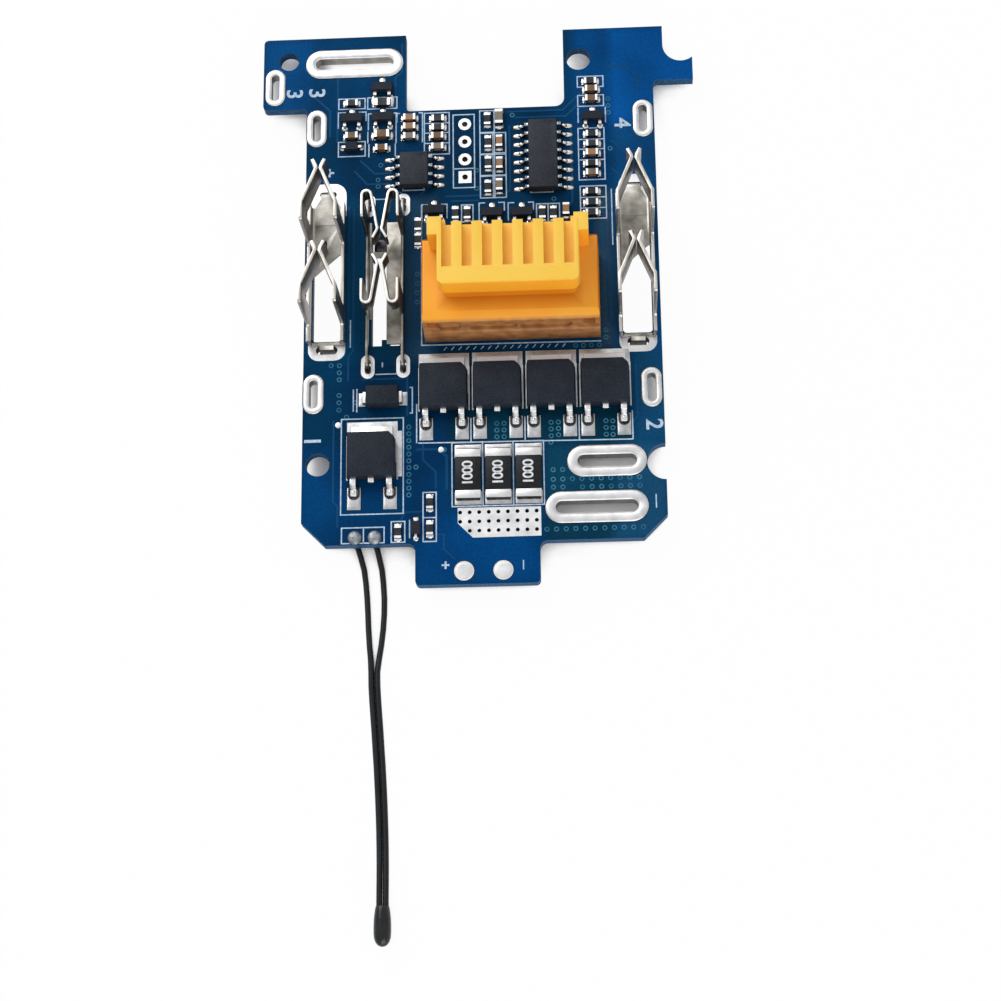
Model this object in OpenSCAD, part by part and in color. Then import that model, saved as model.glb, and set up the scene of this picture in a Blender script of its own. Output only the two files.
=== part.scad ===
// Battery management board of a slide-on tool battery pack.
// X runs across the board, Y along it towards the two ears, Z up through the parts.
// The origin is under the middle of the board, on the surface that the solder tails rest on.

/* [Board] */
// Thickness of the laminate
board_t = 1.6; // [1.2:0.1:2.4]
// Width of the main body
body_w = 46; // [46:0.5:56]
// Length of the board without the lamp tab
body_l = 71; // [70.5:0.5:78]
// How far the left ear stands out of the body
ear_left = 5.9; // [5:0.1:8]
// How far the right ear stands out of the body
ear_right = 5.3; // [4:0.1:8]
// Length of the left ear along the board
ear_left_l = 10.3; // [9.8:0.1:11]
// Length of the right ear along the board
ear_right_l = 7.9; // [7:0.1:11]
// Width of the U-shaped notch between the ears
notch_w = 21; // [16:0.5:21]
// Depth of the U-shaped notch
notch_l = 11.2; // [8:0.1:11.2]
// Width of the lamp tab
tab_w = 15.6; // [13:0.1:20]
// Length of the lamp tab
tab_l = 5.1; // [5:0.1:10]
// Size of the two bevelled corners
corner_cut = 3.3; // [1:0.1:4]
// Radius of the small rounded corners
corner_r = 0.6; // [0.3:0.1:1]
// Height of the board's underside over the tips of the tails
tail_l = 1.5; // [1.2:0.1:3]

/* [Mounting] */
// Diameter of the locating hole in the left ear
ear_hole_d = 2.6; // [2:0.1:3]
// Diameter of the screw hole beside the notch
top_hole_d = 3.2; // [2.5:0.1:3.6]
// Diameter of the screw hole low on the left side
side_hole_d = 3.05; // [2.5:0.05:3.5]
// Diameter of the round boss notches in the edges
boss_d = 4.75; // [4:0.05:5]

/* [Plated slots] */
// Length of a cell tab slot
cell_slot_l = 3.8; // [3:0.1:4.2]
// Width of a cell tab slot
cell_slot_w = 1.1; // [0.8:0.1:1.3]
// Width of the bare ring round a slot
slot_ring = 0.75; // [0.4:0.05:0.8]
// Length of the bus bar slot in the upper left arm
bus_slot_l = 10.5; // [8:0.1:10.6]
// Width of the bus bar slots
bus_slot_w = 1.6; // [1.2:0.1:1.8]
// Width of the bare ring round a bus bar slot
bus_ring = 1.25; // [0.8:0.05:1.3]
// Thickness of the plating, shown on the top and the underside
land_t = 0.05; // [0.03:0.01:0.1]
// Thickness of the plating inside slots and holes
barrel_t = 0.1; // [0.05:0.01:0.12]

/* [Power clips] */
// Distance between the centres of the two power clips
clip_span = 40; // [39.6:0.1:41]
// Width of a power clip over its walls
clip_w = 4.8; // [4.4:0.1:5]
// Height of a power clip over the board
clip_h = 10; // [8:0.5:14]
// Thickness of the spring sheet
clip_t = 0.4; // [0.3:0.05:0.5]
// Height of the low wall between the posts
clip_low = 2.2; // [1.6:0.1:4]
// Height of a spring finger
finger_h = 4; // [3:0.1:5]
// Distance between the two finger pairs
finger_pitch = 11.2; // [10:0.1:11.4]
// Gap between the two fingers of a pair
finger_gap = 0.16; // [0.1:0.02:0.6]
// Width of the board opening between the walls
opening_w = 3.8; // [3:0.1:3.9]

/* [Charge clip] */
// Width of the charge clip over its walls
charge_w = 4.9; // [4.4:0.1:5.4]
// Height of the charge clip over the board
charge_h = 8; // [6:0.5:12]
// Thickness of its spring sheet
charge_t = 0.35; // [0.25:0.05:0.4]
// Height of a folded spring strip
strip_h = 2.5; // [1.5:0.1:4]
// Height of its low side walls
charge_low = 1.6; // [1:0.1:2.5]

/* [Signal connector] */
// Number of ways
ways = 7; // [5:1:7]
// Distance between two ways
pitch = 2.54; // [2.5:0.01:2.54]
// Height of the head over the board
head_h = 12; // [11:0.1:14]
// Height of the base over the board
base_h = 6.8; // [6:0.1:7.5]
// Depth of the base along the board
base_l = 11.3; // [10.8:0.1:12]
// How far the base stands out beside the head
base_side = 2.4; // [2:0.1:2.8]
// Width of a groove in the top of the head
groove_w = 1.25; // [0.8:0.05:1.6]
// Depth of a groove in the top of the head
groove_d = 1.3; // [0.5:0.1:1.6]

/* [Power transistors] */
// Distance between two transistors of the row
fet_pitch = 6.84; // [6.7:0.01:7.2]
// Width of a moulded body
fet_w = 6.2; // [6:0.05:6.5]
// Length of a moulded body
fet_l = 6; // [5.6:0.1:6.2]
// Height of a moulded body over the board
fet_h = 2.3; // [2:0.1:2.6]
// Thickness of the lead frame
lead_t = 0.5; // [0.4:0.05:0.6]

/* [Shunt resistors] */
// Width of a shunt
shunt_w = 3.2; // [2.6:0.1:3.5]
// Length of a shunt
shunt_l = 6.4; // [5.8:0.1:6.6]
// Height of a shunt
shunt_h = 0.6; // [0.4:0.05:1.2]
// Distance between two shunts
shunt_pitch = 3.82; // [3.7:0.01:3.95]

/* [Small parts] */
// Pitch of the leads of the two integrated circuits
ic_pitch = 1.27; // [1.2:0.01:1.27]
// Height of the integrated circuits
ic_h = 1.6; // [1.3:0.1:2]
// Length of a small chip
chip_l = 1.6; // [1.4:0.05:1.7]
// Width of a small chip
chip_w = 0.8; // [0.6:0.05:0.85]
// Height of a chip resistor
resistor_h = 0.45; // [0.3:0.05:0.6]
// Height of a chip capacitor
capacitor_h = 0.75; // [0.5:0.05:0.9]

/* [Thermistor] */
// Diameter of one lead
ntc_d = 0.75; // [0.5:0.05:0.75]
// Diameter of the bead
bead_d = 2.14; // [1.8:0.02:2.4]
// Length of the bead
bead_l = 4.8; // [4:0.1:6]

/* [Hidden] */
$fn = 32;

// Places across the board count from the middle of the body, places along it from its lower edge.
mid_x = (ear_right - ear_left) / 2;
mid_y = (body_l - tab_l) / 2;
top_z = tail_l + board_t;
half_w = body_w / 2;
notch_x = 0.7;                     // middle of the U notch
notch_y = body_l - notch_l;
tab_x = -0.8;                      // middle of the lamp tab
notch_fillet = 1.2;
low_edge = 0.3;                    // the body starts this far above the lower line of the layout
ear_notch = [half_w + ear_right - 1.5, body_l - 2.8];
side_notch = [half_w, 10.2];
ear_hole = [-half_w - ear_left + 3.4, body_l - 3.3];
top_hole = [13.2, body_l - 4.4];
side_hole = [2 - half_w, 10.95];

// Slots: middle of each, then its turn.
edge_in = 1.35;                    // a cell slot's middle lies this far inside the edge
cell_slots = [
    [-half_w - ear_left + 1.6, 63.9], [edge_in - half_w, 57.7], [half_w - 1.5, 57.6],
    [edge_in - half_w, 20.4], [half_w - 1.5, 20.1]];
// Bus slots: middle of each and the slot's length.
bus_slots = [[-16.7, 67.1, bus_slot_l], [15.6, 10.5, 7.5], [14.2, 4.5, 10.4]];
header_x = -2;
header_y = 57.6;                   // first of four holes, going down the board
header_hole = 0.75;
header_land = 1.7;
lamp_xy = [[-2.5, -tab_l + 1.7], [2.4, -tab_l + 1.7]];
lamp_d = 2.5;

// Power clip, along the board from its front leg.
clip_y = 26.3;                     // middle of the front leg's slot
front_leg_y = 0.3;
bar_y = [0.55, 0.95];              // bar that joins the walls in front
post_y = 2.8;                      // front edge of the front post
post_l = 2.4;
finger_reach = 4.6;                // from the post to the contact point
finger_tip = 1.2;                  // length of the flared tip
finger_flare = 0.5;                // how far the tip turns away from the middle
web_y = [10.2, 19.7];              // floor between the walls
web_slant = 2.9;                   // the floor ends this much later on the right
coined_y = 17.3;                   // the floor is pressed thinner in front of this line
coined_t = 0.12;
floor_tip = 1.4;                   // bevelled tip of the floor
floor_hole = [-0.45, 14.3];
floor_hole_d = 0.75;
bend_r = 0.8;
leg_w = 1.8;
front_slot = [2.8, 1.1];           // length and width of the slot for the front leg
rear_slot = [2.2, clip_t + 0.3];
rear_leg_y = web_y[1] + floor_tip + 0.7;
front_land_l = 2.4;
rear_land_l = 4.6;
rear_land_w = [clip_w, 0.83 * clip_w];  // left clip, right clip
opening_y = [1.2, 14.6];
opening_r = 0.5;

// Charge clip, along the board from its front legs.
charge_x = -12.4;
charge_y = 23.9;
charge_legs = [0, 22.4];           // middles of the front and the rear legs
charge_leg_l = 1;
charge_posts = [[6.4, 9.1], [17.4, 20.3]];
charge_web = [14.9, 15.7];
charge_flange = [2.9, 19.85];
charge_opening = [2.8, 17.6];
strip_reach = 4.65;                // from the fold to the contact point
strip_tip = 1.3;                   // length of the flared tip
strip_flare = 0.65;
charge_opening_w = 3.6;
charge_wall = charge_w / 2 - charge_t / 2;
fold_r = 0.6;

// Signal connector, along the board from its front face.
conn_x = 4;
conn_y = 27;
ways_w = (ways - 1) * pitch;
head_w = ways_w + 2.46;
base_w = head_w + 2 * base_side;
head_y = [3.1, base_l + 0.2];
neck_in = 0.3;                     // the neck under the head is set in this far
head_z = head_h - 3;
groove_y = 5.4;
ear_post_w = 1.2;
ear_post_y = [base_l - 1.5, base_l + 0.9];
pocket_w = 1.5;
pocket_y = 4.3;
pocket_z = [1.6, head_h - groove_d - 1.2];
lip_z = 3;                         // top of the thicker foot of the front face
leaf_l = 0.54 * base_l;            // length of a contact's leaves
contact_t = 0.22;
tail_y = pocket_y + 0.45;
tail_w = [0.6, 0.5];
tail_gap = 0.05;
pin_hole = 0.9;
pin_land = 1.7;

// Parts on the board.
fet_x = -4.9;
fet_y = 20.55;
side_fet = [-14.05, 11.6];
fet_lead_x = 2.286;
shunt_x = -1.9;
shunt_y = 9.1;
shunt_cap = 1;                     // length of a shunt's end cap
fet_bevel = [0.35, 0.95];          // left and right top corners of a transistor
diode_xy = [-12.7, 19.45];
diode_size = [4.3, 2.7, 2.1];
balance_xy = [8.3, 52.4];
sense_xy = [-8.64, 50.85];
seat_z = land_t;                   // parts stand on their lands

// Chip resistors: middle and turn.
resistors = [
    [-17, 61.15, 0], [-5.55, 58.5, 0], [-5.55, 57.2, 0],
    [1, 58.1, 90], [1.05, 54.75, 90], [1.05, 51.8, 90], [1, 48.35, 90],
    [14.7, 63.15, 0], [14.75, 55.5, 0], [14.75, 54.1, 0], [14.65, 51.25, 0],
    [14.55, 47.25, 0], [14.55, 45.7, 0], [14.5, 44.25, 0],
    [-3.3, 44.75, 90], [-1.75, 44.7, 90], [8.05, 44.45, 90], [9.5, 44.4, 90],
    [-8.2, 43.3, 90], [-8.2, 41.2, 90],
    [-10.75, 1.75, 90], [-6.75, 5.5, 90], [-6.75, 2.1, 90]];
large_resistors = [[-12.9, 61.1, 0]];
capacitors = [
    [-16.95, 56.3, 0], [-13, 54.4, 0], [-9.3, 58.65, 0], [-9.3, 57.35, 0], [-9.3, 55.95, 0],
    [-5.6, 55.85, 0], [-5.6, 54.3, 0], [2.55, 54.75, 90], [2.55, 51.6, 90], [2.5, 48.5, 90],
    [14.8, 61.9, 0], [14.8, 60.5, 0], [14.7, 52.7, 0], [14.65, 49.85, 0], [11.15, 44.75, 90]];
large_capacitors = [[-12.95, 56.3, 0], [2.55, 58.2, 90]];
large_scale = 1.25;                // the larger chips against the small ones
// Small transistors stand with their single lead up the board.
sots = [[-16.95, 58.8], [-12.95, 63.2], [-12.85, 58.8], [14.9, 57.9], [-6.1, 45.2], [1.5, 44.6],
    [5.4, 44.5]];
sods = [[-16.95, 54.7, 0], [-8.5, 2.2, 90]];

// The tinned land and its vias.
tinned = [[-3.25, 0.85], [7.2, 0.9], [7.2, 4.7], [-3.25, 4.75]];
tinned_cut = 1.9;
via_d = 0.5;
via_pitch = 1.2;
via_grid = [-2.95, 4.15];

// Thermistor: middle between the leads, place along the board, height, half the leads' spacing.
ntc_route = [
    [-14.85, 0.5, 0.95, 1.2], [-14.5, -0.8, 0.8, 1.15], [-14.15, -2.3, 0.5, 1.12],
    [-13.95, -4, 0.4, 1.1], [-13.8, -6, 0.4, 1.08], [-13.75, -8, 0.4, 1.02],
    [-13.77, -10, 0.4, 0.92], [-13.82, -12, 0.4, 0.74], [-13.88, -13.8, 0.4, 0.52],
    [-13.95, -15.4, 0.4, 0.385], [-13.92, -17.2, 0.4, 0.385], [-13.8, -19.2, 0.4, 0.385],
    [-13.65, -21.2, 0.4, 0.385], [-13.5, -23.2, 0.4, 0.385], [-13.37, -25.2, 0.4, 0.385],
    [-13.23, -27.2, 0.4, 0.385], [-13.12, -29.2, 0.4, 0.385], [-13.02, -31.2, 0.4, 0.385],
    [-12.94, -33.2, 0.4, 0.385], [-12.87, -35.2, 0.42, 0.385], [-12.82, -37.2, 0.5, 0.385],
    [-12.78, -39.2, 0.65, 0.385], [-12.76, -41.2, 0.85, 0.385], [-12.75, -42.8, 1.02, 0.385],
    [-12.75, -44.2, 1.08, 0.385]];
ntc_pitch = 2.5;
ntc_sides = 8;
ntc_start = ntc_route[0];
ntc_end = ntc_route[len(ntc_route) - 1];

// ---- helpers ----

// Moves a part from board places to the model's own frame.
module on_board(x = 0, y = 0, z = 0, turn = 0)
    translate([x - mid_x, y - mid_y, top_z + z]) rotate(turn) children();

// Slot outline along X; grow widens it all round.
module slot2d(l, w, grow = 0) {
    straight = l - w;
    r = w / 2 + grow;
    if (straight > 0) translate([-straight / 2, -r]) square([straight, 2 * r]);
    for (s = [-1, 1]) translate([s * straight / 2, 0]) circle(r);
}

// Fills an inner corner, or cuts an outer one, in the quarter plane right of and above the origin.
module corner2d(r) difference() {
    square(r);
    translate([r, r]) circle(r);
}

// A rectangle with all four corners rounded.
module rounded2d(w, l, r) difference() {
    translate([-w / 2, -l / 2]) square([w, l]);
    for (a = [0, 1]) for (b = [0, 1])
        mirror([a, 0]) mirror([0, b]) translate([-w / 2, -l / 2]) corner2d(r);
}

// Extrudes a profile drawn as (along the board, up) across the board, centred.
module across(w) translate([-w / 2, 0, 0]) rotate([90, 0, 90]) linear_extrude(w) children();

// Extrudes a profile drawn as (across, up) along the board from y = 0.
module along(l) translate([0, l, 0]) rotate([90, 0, 0]) linear_extrude(l) children();

function unit(v) = v / norm(v);
function left_of(v) = [-v[1], v[0]];
function offset_point(p, i, d) =
    let (
        last = len(p) - 1,
        a = unit(p[max(i, 1)] - p[max(i, 1) - 1]),
        b = unit(p[min(i + 1, last)] - p[min(i, last - 1)]),
        m = unit(a + b))
    p[i] + left_of(m) * d / (m * a);
// Outline of a bent sheet of thickness t along the line p.
function sheet_outline(p, t) = concat(
    [for (i = [0 : len(p) - 1]) offset_point(p, i, t / 2)],
    [for (i = [len(p) - 1 : -1 : 0]) offset_point(p, i, -t / 2)]);
// Points of an arc round c.
function arc(c, r, a0, a1, n) = [for (i = [0 : n]) c + r * [cos(a0 + (a1 - a0) * i / n),
    sin(a0 + (a1 - a0) * i / n)]];

module bent_sheet(p, t, h) linear_extrude(h) polygon(sheet_outline(p, t));

// A moulded body: seen from the front and the side it widens to the parting line.
module moulded(size, z0, parting, draft) {
    w = size[0];
    l = size[1];
    h = size[2];
    function side(a) = [[-a / 2 + draft, z0], [a / 2 - draft, z0], [a / 2, parting],
        [a / 2 - draft, h], [-a / 2 + draft, h], [-a / 2, parting]];
    intersection() {
        across(w) polygon(side(l));
        translate([0, -l / 2, 0]) along(l) polygon(side(w));
    }
}

// A plated slot: the child is the outline of its bare land.
module plated(l, w, turn = 0) translate([0, 0, -board_t]) difference() {
    union() {
        translate([0, 0, board_t]) linear_extrude(land_t) children();
        translate([0, 0, -land_t]) linear_extrude(land_t) children();
        rotate(turn) linear_extrude(board_t) slot2d(l, w, barrel_t);
    }
    translate([0, 0, -1]) rotate(turn) linear_extrude(board_t + 2) slot2d(l, w);
}

// ---- board ----

module outline2d() {
    left = -half_w - ear_left;
    ear_foot = body_l - ear_left_l;
    ear_foot_r = body_l - ear_right_l;
    tab_left = tab_x - tab_w / 2;
    tab_right = tab_x + tab_w / 2;
    notch_right = notch_x + notch_w / 2;
    difference() {
        union() {
            translate([-half_w, low_edge]) square([body_w, body_l - low_edge]);
            translate([left, ear_foot]) square([ear_left + 1, ear_left_l]);
            translate([half_w - 1, ear_foot_r]) square([ear_right + 1, ear_right_l]);
            translate([tab_left, -tab_l]) square([tab_w, tab_l + 1]);
            translate([tab_left, low_edge]) rotate(180) corner2d(1);
            translate([tab_right, low_edge]) rotate(-90) corner2d(1);
            translate([-half_w, ear_foot]) rotate(180) corner2d(corner_r);
            translate([half_w, ear_foot_r]) rotate(-90) corner2d(corner_r);
        }
        difference() {
            translate([notch_x - notch_w / 2, notch_y]) square([notch_w, notch_l + 1]);
            translate([notch_x - notch_w / 2, notch_y]) corner2d(corner_r);
            translate([notch_right, notch_y]) rotate(90) corner2d(notch_fillet);
        }
        polygon([[-half_w - 1, -1], [-half_w - 1, corner_cut + 1], [corner_cut + 1 - half_w, -1]]);
        polygon([[half_w + 1, -1], [half_w + 1, corner_cut + 1], [half_w - corner_cut - 1, -1]]);
        translate([left, ear_foot]) corner2d(corner_r);
        translate([left, body_l]) rotate(-90) corner2d(corner_r);
        translate([tab_left, -tab_l]) corner2d(corner_r);
        translate([tab_right, -tab_l]) rotate(90) corner2d(corner_r);
        translate(side_notch) circle(boss_d / 2);
        translate(ear_notch) circle(boss_d / 2);
        translate([ear_notch[0] - boss_d / 2, ear_notch[1]]) square([boss_d + ear_right, boss_d]);
    }
}

module clip_opening2d()
    translate([0, (opening_y[0] + opening_y[1]) / 2])
        rounded2d(opening_w, opening_y[1] - opening_y[0], opening_r);

module charge_opening2d() {
    l = charge_opening[1] - charge_opening[0];
    tongue = [1, 0.85];
    difference() {
        translate([-charge_opening_w / 2, charge_opening[0]]) square([charge_opening_w, l]);
        translate([-tongue[0] / 2, charge_opening[0]]) square(tongue);
    }
}

module holes2d() {
    translate(ear_hole) circle(ear_hole_d / 2);
    translate(top_hole) circle(top_hole_d / 2);
    translate(side_hole) circle(side_hole_d / 2);
    for (s = cell_slots) translate(s) rotate(90) slot2d(cell_slot_l, cell_slot_w, barrel_t);
    for (s = bus_slots) translate([s[0], s[1]]) slot2d(s[2], bus_slot_w, barrel_t);
    for (i = [0 : 3]) translate([header_x, header_y - i * pitch]) circle(header_hole / 2 + barrel_t);
    for (i = [0 : ways - 1])
        translate([conn_x + i * pitch - ways_w / 2, conn_y + tail_y]) circle(pin_hole / 2 + barrel_t);
    for (s = [-1, 1]) translate([s * clip_span / 2, clip_y]) {
        slot2d(front_slot[0], front_slot[1], barrel_t);
        translate([0, rear_leg_y]) slot2d(rear_slot[0], rear_slot[1], barrel_t);
        clip_opening2d();
    }
    for (s = [-1, 1]) for (y = charge_legs)
        translate([charge_x + s * charge_wall, charge_y + y])
            rotate(90) slot2d(charge_leg_l + 1, charge_slot_w, barrel_t);
    translate([charge_x, charge_y]) charge_opening2d();
    for (s = [-1, 1]) translate([ntc_start[0] + s * ntc_pitch / 2 - 0.1, ntc_joint_y]) circle(ntc_hole / 2);
    via_holes2d();
}
charge_slot_w = charge_t + 0.45;
ntc_hole = 0.9;
ntc_joint_y = 1.2;

module via_holes2d() for (row = [0 : 2]) for (col = [0 : 8])
    if (row < 2 || col > 0)
        translate([via_grid[0] + col * via_pitch, via_grid[1] - row * via_pitch]) circle(via_d / 2);

module board() color("#0b4478")
    on_board(z = -board_t) linear_extrude(board_t) difference() {
        outline2d();
        holes2d();
    }

module cell_slot_eyelets() color("silver") for (s = cell_slots) on_board(s[0], s[1])
    plated(cell_slot_l, cell_slot_w, 90)
        rotate(90) slot2d(cell_slot_l + 2 * slot_ring, cell_slot_w + 2 * slot_ring);

module bus_slot_eyelets() color("silver") for (s = bus_slots) on_board(s[0], s[1])
    plated(s[2], bus_slot_w) slot2d(s[2] + 2 * bus_ring, bus_slot_w + 2 * bus_ring);

// Land in front of a power clip, with its two outer corners rounded.
module front_land2d(grow = 0) {
    half = clip_w / 2 + grow;
    low = opening_y[0] - 0.2 - front_land_l - grow;
    difference() {
        translate([-half, low]) square([2 * half, front_land_l + grow]);
        for (m = [0, 1]) mirror([m, 0]) translate([-half, low]) corner2d(1.4);
    }
}

// Land behind a power clip; the left clip's is as wide as the clip, the right one's narrower.
module rear_land2d(w) difference() {
    translate([-w / 2, 1.5 - rear_land_l]) square([w, rear_land_l]);
    for (m = [0, 1]) mirror([m, 0]) translate([-w / 2, 1.5]) rotate(-90) corner2d(1.6);
}

module clip_lands(side) on_board(side * clip_span / 2, clip_y) {
    plated(front_slot[0], front_slot[1]) front_land2d();
    translate([0, rear_leg_y, 0]) plated(rear_slot[0], rear_slot[1])
        rear_land2d(rear_land_w[side < 0 ? 0 : 1]);
}

module clip_eyelets() color("silver") for (s = [-1, 1]) clip_lands(s);

module charge_clip_eyelets() color("silver") for (s = [-1, 1]) for (y = charge_legs)
    on_board(charge_x + s * charge_wall, charge_y + y)
        plated(charge_leg_l + 1, charge_slot_w, 90)
            rotate(90) slot2d(3.2, 1.75);

module header_eyelets() color("silver") for (i = [0 : 3])
    on_board(header_x, header_y - i * pitch) plated(header_hole, header_hole)
        if (i == 3) translate([-header_land / 2, -header_land / 2]) square(header_land);
        else circle(header_land / 2);

module pin_eyelets() color("silver") for (i = [0 : ways - 1])
    on_board(conn_x + i * pitch - ways_w / 2, conn_y + tail_y) plated(pin_hole, pin_hole)
        circle(pin_land / 2);

module lamp_lands() color("gainsboro") for (p = lamp_xy)
    on_board(p[0], p[1]) linear_extrude(land_t) circle(lamp_d / 2);

module tinned_land() color("gainsboro") on_board() linear_extrude(land_t) difference() {
    polygon([
        tinned[0] + [tinned_cut, 0], tinned[1], tinned[2], tinned[3], tinned[0] + [0, tinned_cut]]);
    via_holes2d();
}

// ---- power clips ----

// Section of the folded sheet where the floor joins the two walls.
module u_section2d() {
    outer = clip_w / 2;
    inner = outer - clip_t;
    difference() {
        union() {
            translate([-outer, bend_r]) square([2 * outer, clip_low - bend_r]);
            translate([bend_r - outer, 0]) square([2 * (outer - bend_r), clip_low]);
            for (s = [-1, 1]) translate([s * (outer - bend_r), bend_r]) circle(bend_r);
        }
        translate([-inner, bend_r]) square([2 * inner, clip_low]);
        translate([bend_r - outer, clip_t]) square([2 * (outer - bend_r), clip_low]);
        for (s = [-1, 1]) translate([s * (outer - bend_r), bend_r]) circle(bend_r - clip_t);
    }
}

// One finger: from the post it turns in, runs to the contact point and flares out again.
module power_finger() {
    x0 = clip_w / 2 - clip_t / 2;
    xc = finger_gap / 2 + clip_t / 2;
    turn = 0.35;
    path = [[x0, -turn], [x0, 0.1], [x0 - 0.22, turn + 0.15],
        [xc + 0.16, finger_reach - turn], [xc, finger_reach], [xc + 0.08, finger_reach + turn],
        [xc + finger_flare, finger_reach + finger_tip]];
    translate([0, 0, clip_h - finger_h]) bent_sheet(path, clip_t, finger_h);
}

module power_clip_side() {
    x0 = clip_w / 2 - clip_t / 2;
    translate([x0, 0, 0]) across(clip_t)
        translate([bar_y[0], 0]) square([web_y[0] + web_slant + 1 - bar_y[0], clip_low]);
    for (i = [0, 1]) translate([0, post_y + i * finger_pitch, 0]) {
        translate([x0, 0, 0]) across(clip_t) difference() {
            translate([0, clip_low - 0.6]) square([post_l, clip_h - clip_low + 0.6]);
            translate([0, clip_h]) rotate(-90) corner2d(0.4);
        }
        translate([0, post_l, 0]) power_finger();
    }
    // Small webs at the foot of each post.
    for (i = [0, 1]) translate([x0, post_y + i * finger_pitch, 0]) across(clip_t) {
        translate([0, clip_low]) mirror([1, 0]) corner2d(0.5);
        translate([post_l, clip_low]) corner2d(0.5);
    }
}

module power_clip(side) color("#b9b5ae")
    on_board(side * clip_span / 2, clip_y, land_t) {
        for (m = [0, 1]) mirror([m, 0, 0]) difference() {
            web = [web_y[0] + (1 - m) * web_slant, web_y[1]];
            power_clip_side();
            // The rounded fold of the bar and of the floor takes the square lower corner away.
            for (y = [bar_y, web]) translate([clip_w / 2, y[0], 0]) fold_relief(y[1] - y[0]);
        }
        translate([0, bar_y[0], 0]) along(bar_y[1] - bar_y[0]) u_section2d();
        clip_floor();
        rear_leg();
        front_leg();
    }

// Floor between the walls: slanted in front, pressed thinner there, with one hole and a bevelled tip.
module clip_floor() {
    tip_w = clip_w / 2 - bend_r + 0.1;
    out = clip_w / 2;
    difference() {
        translate([0, web_y[0], 0]) along(web_y[1] - web_y[0]) u_section2d();
        translate([0, 0, -1]) linear_extrude(clip_low + 2) polygon([
            [-out - 1, web_y[0] - 1], [out + 1, web_y[0] - 1], [out + 1, web_y[0] + web_slant],
            [out - bend_r, web_y[0] + web_slant], [bend_r - out, web_y[0]], [-out - 1, web_y[0]]]);
        translate([-out + bend_r, 0, clip_t - coined_t])
            cube([2 * (out - bend_r), coined_y, clip_t]);
        translate([floor_hole[0], floor_hole[1], -1]) linear_extrude(clip_t + 2)
            rotate(90) slot2d(2.4 * floor_hole_d, floor_hole_d);
    }
    translate([0, web_y[1], 0]) linear_extrude(clip_t)
        polygon([[-tip_w, -0.01], [tip_w, -0.01], [tip_w * 0.5, floor_tip],
            [-tip_w * 0.5, floor_tip]]);
}

// Cutter for the outside of a fold of length l, at the lower outer edge of a wall.
module fold_relief(l) along(l) rotate(90) corner2d(bend_r);

module clip_leg2d(reach) polygon([
    [reach, clip_t], [clip_t / 2, clip_t], [-clip_t / 2, 0], [-clip_t / 2, -top_z - land_t],
    [clip_t / 2, -top_z - land_t], [clip_t / 2, 0], [reach, 0]]);

module front_leg() translate([0, front_leg_y, 0])
    across(leg_w) clip_leg2d(bar_y[0] + 0.1 - front_leg_y);

module rear_leg() translate([0, rear_leg_y, 0]) mirror([0, 1, 0])
    across(1.8) clip_leg2d(0.7);

module left_power_clip() power_clip(-1);
module right_power_clip() power_clip(1);

// ---- charge clip ----

// Folded spring strip: from the post round a tight fold, back to the contact point, then flared.
module charge_finger(y_post, dir) {
    c = [charge_wall - fold_r, 0];
    xc = finger_gap / 2 + charge_t / 2;
    fold = arc(c, fold_r, 0, -170, 6);
    path = concat([[charge_wall, 0.6]], fold,
        [[xc + 0.12, strip_reach - 0.5], [xc, strip_reach], [xc + 0.12, strip_reach + 0.35],
            [xc + strip_flare, strip_reach + strip_tip]]);
    translate([0, y_post, charge_h - strip_h]) mirror([0, dir < 0 ? 1 : 0, 0])
        bent_sheet(path, charge_t, strip_h);
}

module charge_side() {
    legs = charge_legs;
    half = charge_leg_l / 2;
    translate([charge_wall, 0, 0]) across(charge_t) {
        difference() {
            translate([legs[0] - half, 0]) square([legs[1] - legs[0] + 2 * half, charge_low]);
            translate([legs[0] - half, charge_low]) rotate(-90) corner2d(0.6);
            translate([legs[1] + half, charge_low]) rotate(180) corner2d(0.6);
        }
        for (y = legs)
            translate([y - half, -top_z - land_t]) square([charge_leg_l, top_z + land_t + 0.5]);
        for (p = charge_posts) translate([p[0], 0.5]) difference() {
            square([p[1] - p[0], charge_h - 0.5]);
            translate([0, charge_h - 0.5]) rotate(-90) corner2d(0.35);
            translate([p[1] - p[0], charge_h - 0.5]) rotate(180) corner2d(0.35);
        }
    }
    charge_finger(charge_posts[0][0] - 0.1, 1);
    charge_finger(charge_posts[1][1] + 0.1, -1);
}

module charge_clip() color("#c9c6bf") on_board(charge_x, charge_y, land_t) {
    for (m = [0, 1]) mirror([m, 0, 0]) charge_side();
    // Floor between the walls, a narrow flange on the left and a wide one on the right.
    linear_extrude(charge_t) {
        translate([-charge_wall, charge_web[0]])
            square([2 * charge_wall, charge_web[1] - charge_web[0]]);
        translate([-charge_wall, charge_posts[0][0]])
            square([0.5, charge_flange[1] - charge_posts[0][0]]);
        translate([0.15, charge_flange[0]])
            square([charge_wall - 0.15, charge_flange[1] - charge_flange[0]]);
    }
}

// ---- signal connector ----

module housing_base() {
    draft = 0.12;
    lip = 0.25;
    edge = 0.3;
    intersection() {
        across(base_w) difference() {
            polygon([[0, 0], [0.05, lip_z], [lip, lip_z + 0.2], [lip + 0.05, base_h - 0.7],
                [lip + 1.25, base_h], [base_l, base_h], [base_l + 0.1, 0]]);
            translate([base_l, base_h]) rotate(180) corner2d(edge);
        }
        along(base_l + 0.1) difference() {
            polygon([[-base_w / 2, 0], [base_w / 2, 0], [base_w / 2 - draft, base_h],
                [draft - base_w / 2, base_h]]);
            for (m = [0, 1]) mirror([m, 0])
                translate([draft - base_w / 2, base_h]) rotate(-90) corner2d(edge);
        }
    }
}

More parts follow.
